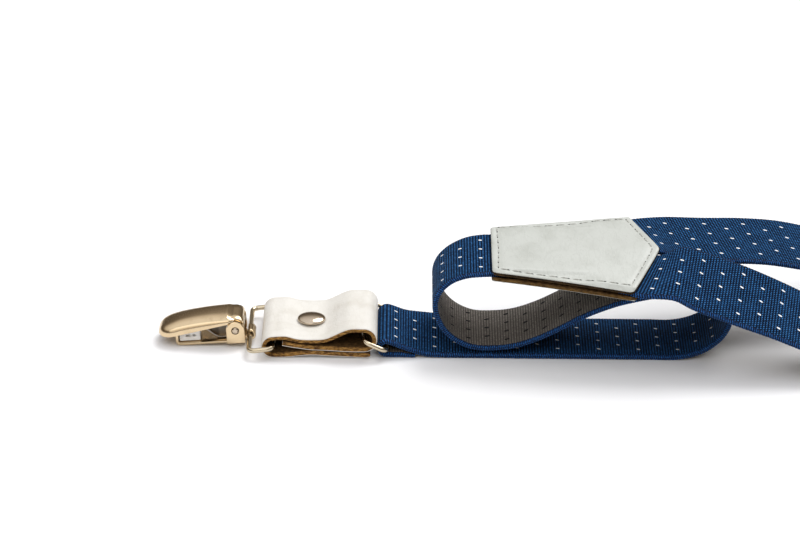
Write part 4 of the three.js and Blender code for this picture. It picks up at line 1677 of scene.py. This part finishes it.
@dataclass
class Clip:
    """The clip, in its own level frame, with its origin on the wire loop's bar."""

    finishes: Finishes
    prefix: str
    place: np.ndarray
    plate: float = 0.8
    width: float = 10.0
    lip: float = 3.5
    bottom: float = -0.9
    top: float = -0.1
    back: float = -1.25
    front: float = -21.25
    tongue: float = 5.0
    curl: float = 1.3  # radius of the middle of the plate round the bar
    pin_x: float = -3.9
    pin_z: float = 3.1
    pin_radius: float = 1.0
    ear: float = 2.7
    lid_width: float = 12.0
    lid_plate: float = 0.7
    tail: float = 2.6
    pad_length: float = 6.0
    pad_width: float = 8.4
    pad_height: float = 1.35
    slots: tuple[tuple[float, float], ...] = ((1.7, 3.0), (3.9, 4.8))
    jaw_plate: float = 0.6
    jaw_width: float = 7.0
    fit: float = 0.3

    def strip(self, form: Form, path: np.ndarray, half: float, thickness: float, corner: float = 0.2) -> None:
        """Add a bent strip of sheet metal with eased edges.

        Args:
            form: The piece's form.
            path: The middle of the strip, as rows of X and Z.
            half: Half its width.
            thickness: Its thickness.
            corner: The radius of its edges.
        """
        _, line = even(at_y(path), 0.2)
        outline, _ = strip_section(2 * half, thickness, corner, 4, 3)
        form.loft(strip_rings(line, ACROSS, outline))

    def add(
        self, form: Form, name: str, body: str, node: str, look: bpy.types.Material, slot: str = "nickel",
        crease: float = 35,
    ) -> None:
        """Make one of the clip's pieces.

        Args:
            form: The piece's form.
            name: The end of its name.
            body: The end of the name of the body that carries it.
            node: The end of the name of the node that it replaces.
            look: Its material.
            slot: Its material slot.
            crease: The angle in degrees above which an edge stays sharp.
        """
        piece = form.piece(f"{self.prefix}_clip_{name}", [look], self.place, crease)
        belongs(piece, f"{self.prefix}_{body}", slot, f"{self.prefix}_clip_{node}")

    def washer(self, form: Form, outer: np.ndarray, low: float, high: float, hole: float) -> None:
        """Add a plate with a round hole about the pin.

        Args:
            form: The piece's form.
            outer: The plate's outline about the pin, as rows of X and Z.
            low: Its lowest Y.
            high: Its highest Y.
            hole: The hole's radius.
        """
        from_pin = outer - [self.pin_x, self.pin_z]
        angle = np.arctan2(from_pin[:, 1], from_pin[:, 0])
        inner = np.stack([self.pin_x + hole * np.cos(angle), self.pin_z + hole * np.sin(angle)], 1)
        ease = 0.15
        eased = outer - unit(from_pin) * ease
        near = [(inner, low), (eased, low), (outer, low + ease)]
        far = [(outer, high - ease), (eased, high), (inner, high)]
        form.loft(np.array([at_y(outline, y) for outline, y in near + far]), cap=Cap.LOOPED)

    def base(self) -> None:
        """Make the base: a plate with a front lip, two ears and a tongue curled round the bar."""
        form = Form()
        middle = (self.bottom + self.top) / 2
        front = self.front + self.plate / 2
        bend = 0.9
        path = np.vstack([
            [(front, self.bottom + self.lip)],
            arc(front + bend, middle + bend, bend, 180, 270, 8),
            [(self.back, middle)],
        ])
        self.strip(form, path, self.width / 2, self.plate)
        path = np.vstack([
            [(self.back - 0.8, middle + 0.06), (self.back + 0.1, middle + 0.06)],
            arc(0, 0, self.curl, 204, 450, 30),
        ])
        self.strip(form, path, self.tongue / 2, self.plate - 0.12)
        half = self.width / 2
        sides = np.radians(np.linspace(0, 180, 19))
        crown = np.stack([self.pin_x + self.ear * np.cos(sides), self.pin_z + self.ear * np.sin(sides)], 1)
        foot = [(self.pin_x - self.ear, z) for z in np.linspace(self.pin_z - 0.6, self.bottom, 6)]
        foot += [(x, self.bottom) for x in np.linspace(self.pin_x - 1.7, self.pin_x + 1.7, 6)]
        foot += [(self.pin_x + self.ear, z) for z in np.linspace(self.bottom, self.pin_z - 0.6, 6)]
        outer = np.vstack([crown, foot])
        for low, high in ((-half - self.plate, -half), (half, half + self.plate)):
            self.washer(form, outer, low, high, self.pin_radius + 0.15)
        self.add(form, "frame", "clip", "base", self.finishes.nickel)

    def pin(self) -> None:
        """Make the pin, with a staked head at each end."""
        reach = self.width / 2 + self.plate + 0.4
        profile = [(0.2, -reach + 0.1), (0.42, -reach + 0.02), (0.55, -reach), (0.78, -reach + 0.1)]
        profile += [(0.93, -reach + 0.28), (self.pin_radius, -reach + 0.5)]
        profile += [(radius, -y) for radius, y in profile[::-1]]
        rings = lathe(profile, 24)[..., [0, 2, 1]] + [self.pin_x, 0, self.pin_z]
        self.add(Form().loft(rings), "axle", "clip", "pin", self.finishes.cap)

    def pad(self, which: str, body: str, bottom: float, slotted_top: bool) -> None:
        """Make a nylon pad, with two slots across its gripping face.

        Args:
            which: Whether it is the "lower" or the "upper" one.
            body: The end of the name of the body that carries it.
            bottom: Its lowest Z.
            slotted_top: Whether its gripping face is its top.
        """
        front = self.front + self.plate + self.fit
        height = self.pad_height + self.fit / 2 - 0.03
        deep, ease = height - 0.3, 0.12
        edge = [(0.0, 0.15), (0.0, height - ease), (ease, height)]
        for start, end in self.slots:
            edge += [(start, height), (start + 0.08, deep), (end - 0.08, deep), (end, height)]
        edge += [(self.pad_length - ease, height), (self.pad_length, height - ease)]
        edge += [(self.pad_length, 0.15), (self.pad_length - 0.15, 0.0), (0.15, 0.0)]
        profile = np.array(edge)
        if not slotted_top:
            profile[:, 1] = self.pad_height - profile[:, 1]
        outline = np.stack([front + profile[:, 0], bottom + profile[:, 1]], 1)
        half = self.pad_width / 2
        centre = outline.mean(0)
        stations = ((-half, ease), (-half + ease, 0.0), (half - ease, 0.0), (half, ease))
        rings = [at_y(outline - unit(outline - centre) * shrink, y) for y, shrink in stations]
        form = Form().loft(np.array(rings))
        self.add(form, f"{which}_pad_teeth", body, f"{which}_pad", self.finishes.nylon, "nylon")

    def jaw(self, low_pad: float) -> None:
        """Make the leaf spring that carries the upper pad.

        Args:
            low_pad: The lowest Z of the upper pad.
        """
        level = low_pad + self.pad_height + self.fit + self.jaw_plate / 2
        foot = self.top + self.fit + self.jaw_plate / 2
        front = self.front + self.plate + self.fit
        shoulder = front + self.pad_length + 1.2
        back = self.pin_x - self.tail - self.fit
        points = [(front, level), (shoulder - 1.2, level), (shoulder - 0.1, level - 0.15)]
        points += [(back - 2.4, foot + 0.2), (back - 1.4, foot), (back, foot)]
        path = smooth(at_y(points), 10)[:, [0, 2]]
        form = Form()
        self.strip(form, path, self.jaw_width / 2, self.jaw_plate - 0.08, 0.15)
        self.add(form, "leaf", "jaw", "spring_jaw", self.finishes.steel)

    def dome(self, form: Form, stations: np.ndarray, plate: float) -> None:
        """Add a domed shell that is open below.

        Args:
            form: The piece's form.
            stations: Rows of X, half width, rim height and top height.
            plate: The shell's thickness.
        """
        angle = np.linspace(0, math.pi, 25)
        squareness = 2 / 3.2
        across = np.sign(np.cos(angle)) * np.abs(np.cos(angle)) ** squareness
        up = np.abs(np.sin(angle)) ** squareness
        rings = []
        for x, half, rim, top in stations:
            inner_half, inner_top = max(half - plate, 0.1), max(top - plate, rim + 0.05)
            outer, inner = (
                np.stack([0 * angle + x, wide * across, rim + (high - rim) * up], 1)
                for wide, high in ((half, top), (inner_half, inner_top))
            )
            rings.append(np.vstack([outer, inner[::-1]]))
        form.loft(np.array(rings), cap=Cap.SHELL)

    def lid(self) -> None:
        """Make the lid: a duck-bill cover, a rear band, cheeks on the pin and a tail behind it."""
        ridge = smooth(at_y([
            (-26.15, 2.5), (-26.1, 3.1), (-25.7, 3.8), (-24.7, 4.6), (-21.2, 5.85),
            (-17, 6.65), (-12, 7.15), (-9.4, 7.26), (-6.0, 7.3),
        ]), 8)
        half = self.lid_width / 2
        stations = []
        for x, _, top in ridge:
            nose = np.clip((-21.0 - x) / 5.15, 0, 1)
            width = half * max(0.34, math.sqrt(1 - 0.88 * nose**2.6))
            rim = 1.75 + 0.175 * (x + 26.1) + 0.5 * nose**3
            stations.append((x, width, rim, top))
        form = Form()
        rim = stations[-1][2]
        edge = [(-5.85, half, rim + 0.1, 7.25), (-5.6, half - 0.08, rim + 0.5, 7.12)]
        edge += [(-4.3, half - 0.5, 5.9, 6.75), (-4.1, half - 0.7, 6.0, 6.6)]
        self.dome(form, np.array(stations + edge), self.lid_plate)
        inner = self.width / 2 - self.fit
        middle = self.tail - self.lid_plate / 2
        path = np.vstack([
            [(-5.6, 6.35), (-4.6, 6.4), (-3.4, 6.3), (-2.4, 5.95), (-1.75, 5.3)],
            arc(self.pin_x, self.pin_z, middle, 28, 0, 5),
        ])
        path = smooth(at_y(path), 8)[:, [0, 2]]
        self.strip(form, path, inner, self.lid_plate)
        cheek = np.vstack([
            [(-6.4, 6.5), (-5.4, 6.5), (-4.4, 6.45), (-3.4, 6.4), (-2.7, 6.2), (-2.1, 5.9)],
            arc(self.pin_x, self.pin_z, self.tail - 0.2, 40, -180, 24),
            [(-6.35, 4.0), (-6.38, 5.4)],
        ])
        for low, high in ((-inner, -inner + self.plate), (inner - self.plate, inner)):
            self.washer(form, cheek, low, high, self.pin_radius + 0.15)
        self.add(form, "cover", "lid", "lid", self.finishes.nickel, crease=40)

    def build(self) -> None:
        """Make every part of the clip."""
        lower = self.top + self.fit
        upper = lower + self.pad_height + self.fit
        self.base()
        self.pin()
        self.pad("lower", "clip", lower, True)
        self.pad("upper", "jaw", upper, False)
        self.jaw(upper)
        self.lid()


# ---------------------------------------------------------------- studio


@dataclass
class Studio:
    """The camera, the pale table top and the soft lights."""

    camera_place: tuple[float, float, float] = (-46.0, -989.61, 474.03)
    elevation: float = 24.5
    roll: float = 0.6
    lens: float = 171.0
    sensor: float = 36.0
    table_radius: float = 4000.0
    surroundings: tuple[tuple[float, Colour], ...] = (
        (0.0, (0.34, 0.31, 0.27, 1.0)),
        (0.2, (0.1, 0.085, 0.07, 1.0)),
        (0.42, (0.19, 0.16, 0.13, 1.0)),
        (0.58, (0.76, 0.73, 0.69, 1.0)),
        (0.8, (1.0, 1.0, 1.02, 1.0)),
        (1.0, (1.08, 1.1, 1.15, 1.0)),
    )

    def camera(self) -> None:
        """Make the camera."""
        data = bpy.data.cameras.new("camera")
        data.lens = self.lens
        data.sensor_width = self.sensor
        made = linked("camera", data)
        tilt = Matrix.Rotation(math.radians(90 - self.elevation), 4, "X")
        turn = Matrix.Rotation(math.radians(self.roll), 4, "Z")
        place = Matrix.Translation([part * MM for part in self.camera_place])
        made.matrix_world = place @ tilt @ turn
        bpy.context.scene.camera = made

    def table(self) -> None:
        """Make the table top."""
        paint = Paint.new("table_top")
        soft = paint.noise(paint.place(), 300.0, 2.0)
        colour = paint.mix(soft * 0.15, rgb(250, 250, 251), rgb(243, 243, 245))
        material = paint.surface({"Base Color": colour, "Roughness": 0.6, "Specular IOR Level": 0.2})
        angle = 2 * math.pi * np.arange(64) / 64
        ring = np.stack([np.cos(angle), np.sin(angle), 0 * angle], 1) * self.table_radius * MM
        mesh = bpy.data.meshes.new("table")
        mesh.from_pydata(ring.tolist(), [], [list(range(64))])
        mesh.materials.append(material)
        linked("table", mesh)

    def sun(self, name: str, azimuth: float, elevation: float, spread: float, strength: float) -> None:
        """Make one soft, distant light.

        Args:
            name: Its name.
            azimuth: Where it stands, in degrees from +X towards +Y.
            elevation: Its height above the horizon, in degrees.
            spread: How wide it looks, in degrees.
            strength: Its strength.
        """
        data = bpy.data.lights.new(name, "SUN")
        data.angle = math.radians(spread)
        data.energy = strength
        made = linked(name, data)
        made.rotation_euler = (math.radians(90 - elevation), 0, math.radians(azimuth + 90))

    def world(self) -> None:
        """Make the surroundings: bright overhead and dim towards the horizon."""
        world = bpy.data.worlds.new("surroundings")
        paint = Paint(world)
        toward = paint.node("ShaderNodeTexCoord").outputs["Generated"]
        height = paint.node("ShaderNodeSeparateXYZ", None, {0: toward}).outputs["Z"]
        ramp = paint.node("ShaderNodeValToRGB", {"stops": self.surroundings}, {0: height})
        background = paint.node("ShaderNodeBackground", None, {"Color": ramp.outputs[0]})
        paint.node("ShaderNodeOutputWorld", None, {"Surface": background.outputs[0]})
        bpy.context.scene.world = world

    def build(self) -> None:
        """Make the table, the lights and the surroundings."""
        bpy.context.scene.view_settings.view_transform = "Standard"
        self.table()
        self.world()
        self.sun("key_light", 55, 52, 36, 1.8)
        self.sun("fill_light", 250, 36, 60, 0.5)


def main() -> None:
    """Build the suspenders and the studio around them."""
    logging.basicConfig(level=logging.INFO, format="%(name)s: %(message)s")
    studio = Studio()
    studio.camera()
    studio.build()
    finishes = Finishes()
    webbing = Webbing(finishes)
    patch = BackPatch(finishes)
    rear = RearStrap(webbing, patch)
    rear.build()
    patch.build()
    EndFittings(finishes, "rear", turned(rear.loop_x, 0, 0)).build()
    for side, way in (("left", LEFT_WAY), ("right", RIGHT_WAY)):
        strap = FrontStrap(webbing, patch, side, way)
        strap.build()
        Adjuster(finishes, strap).build()
        x, y, _ = way.on_table(strap.loop_at, 0)
        EndFittings(finishes, side, turned(x, y, 0, 180 + way.yaw)).build()


if __name__ == "__main__":
    main()
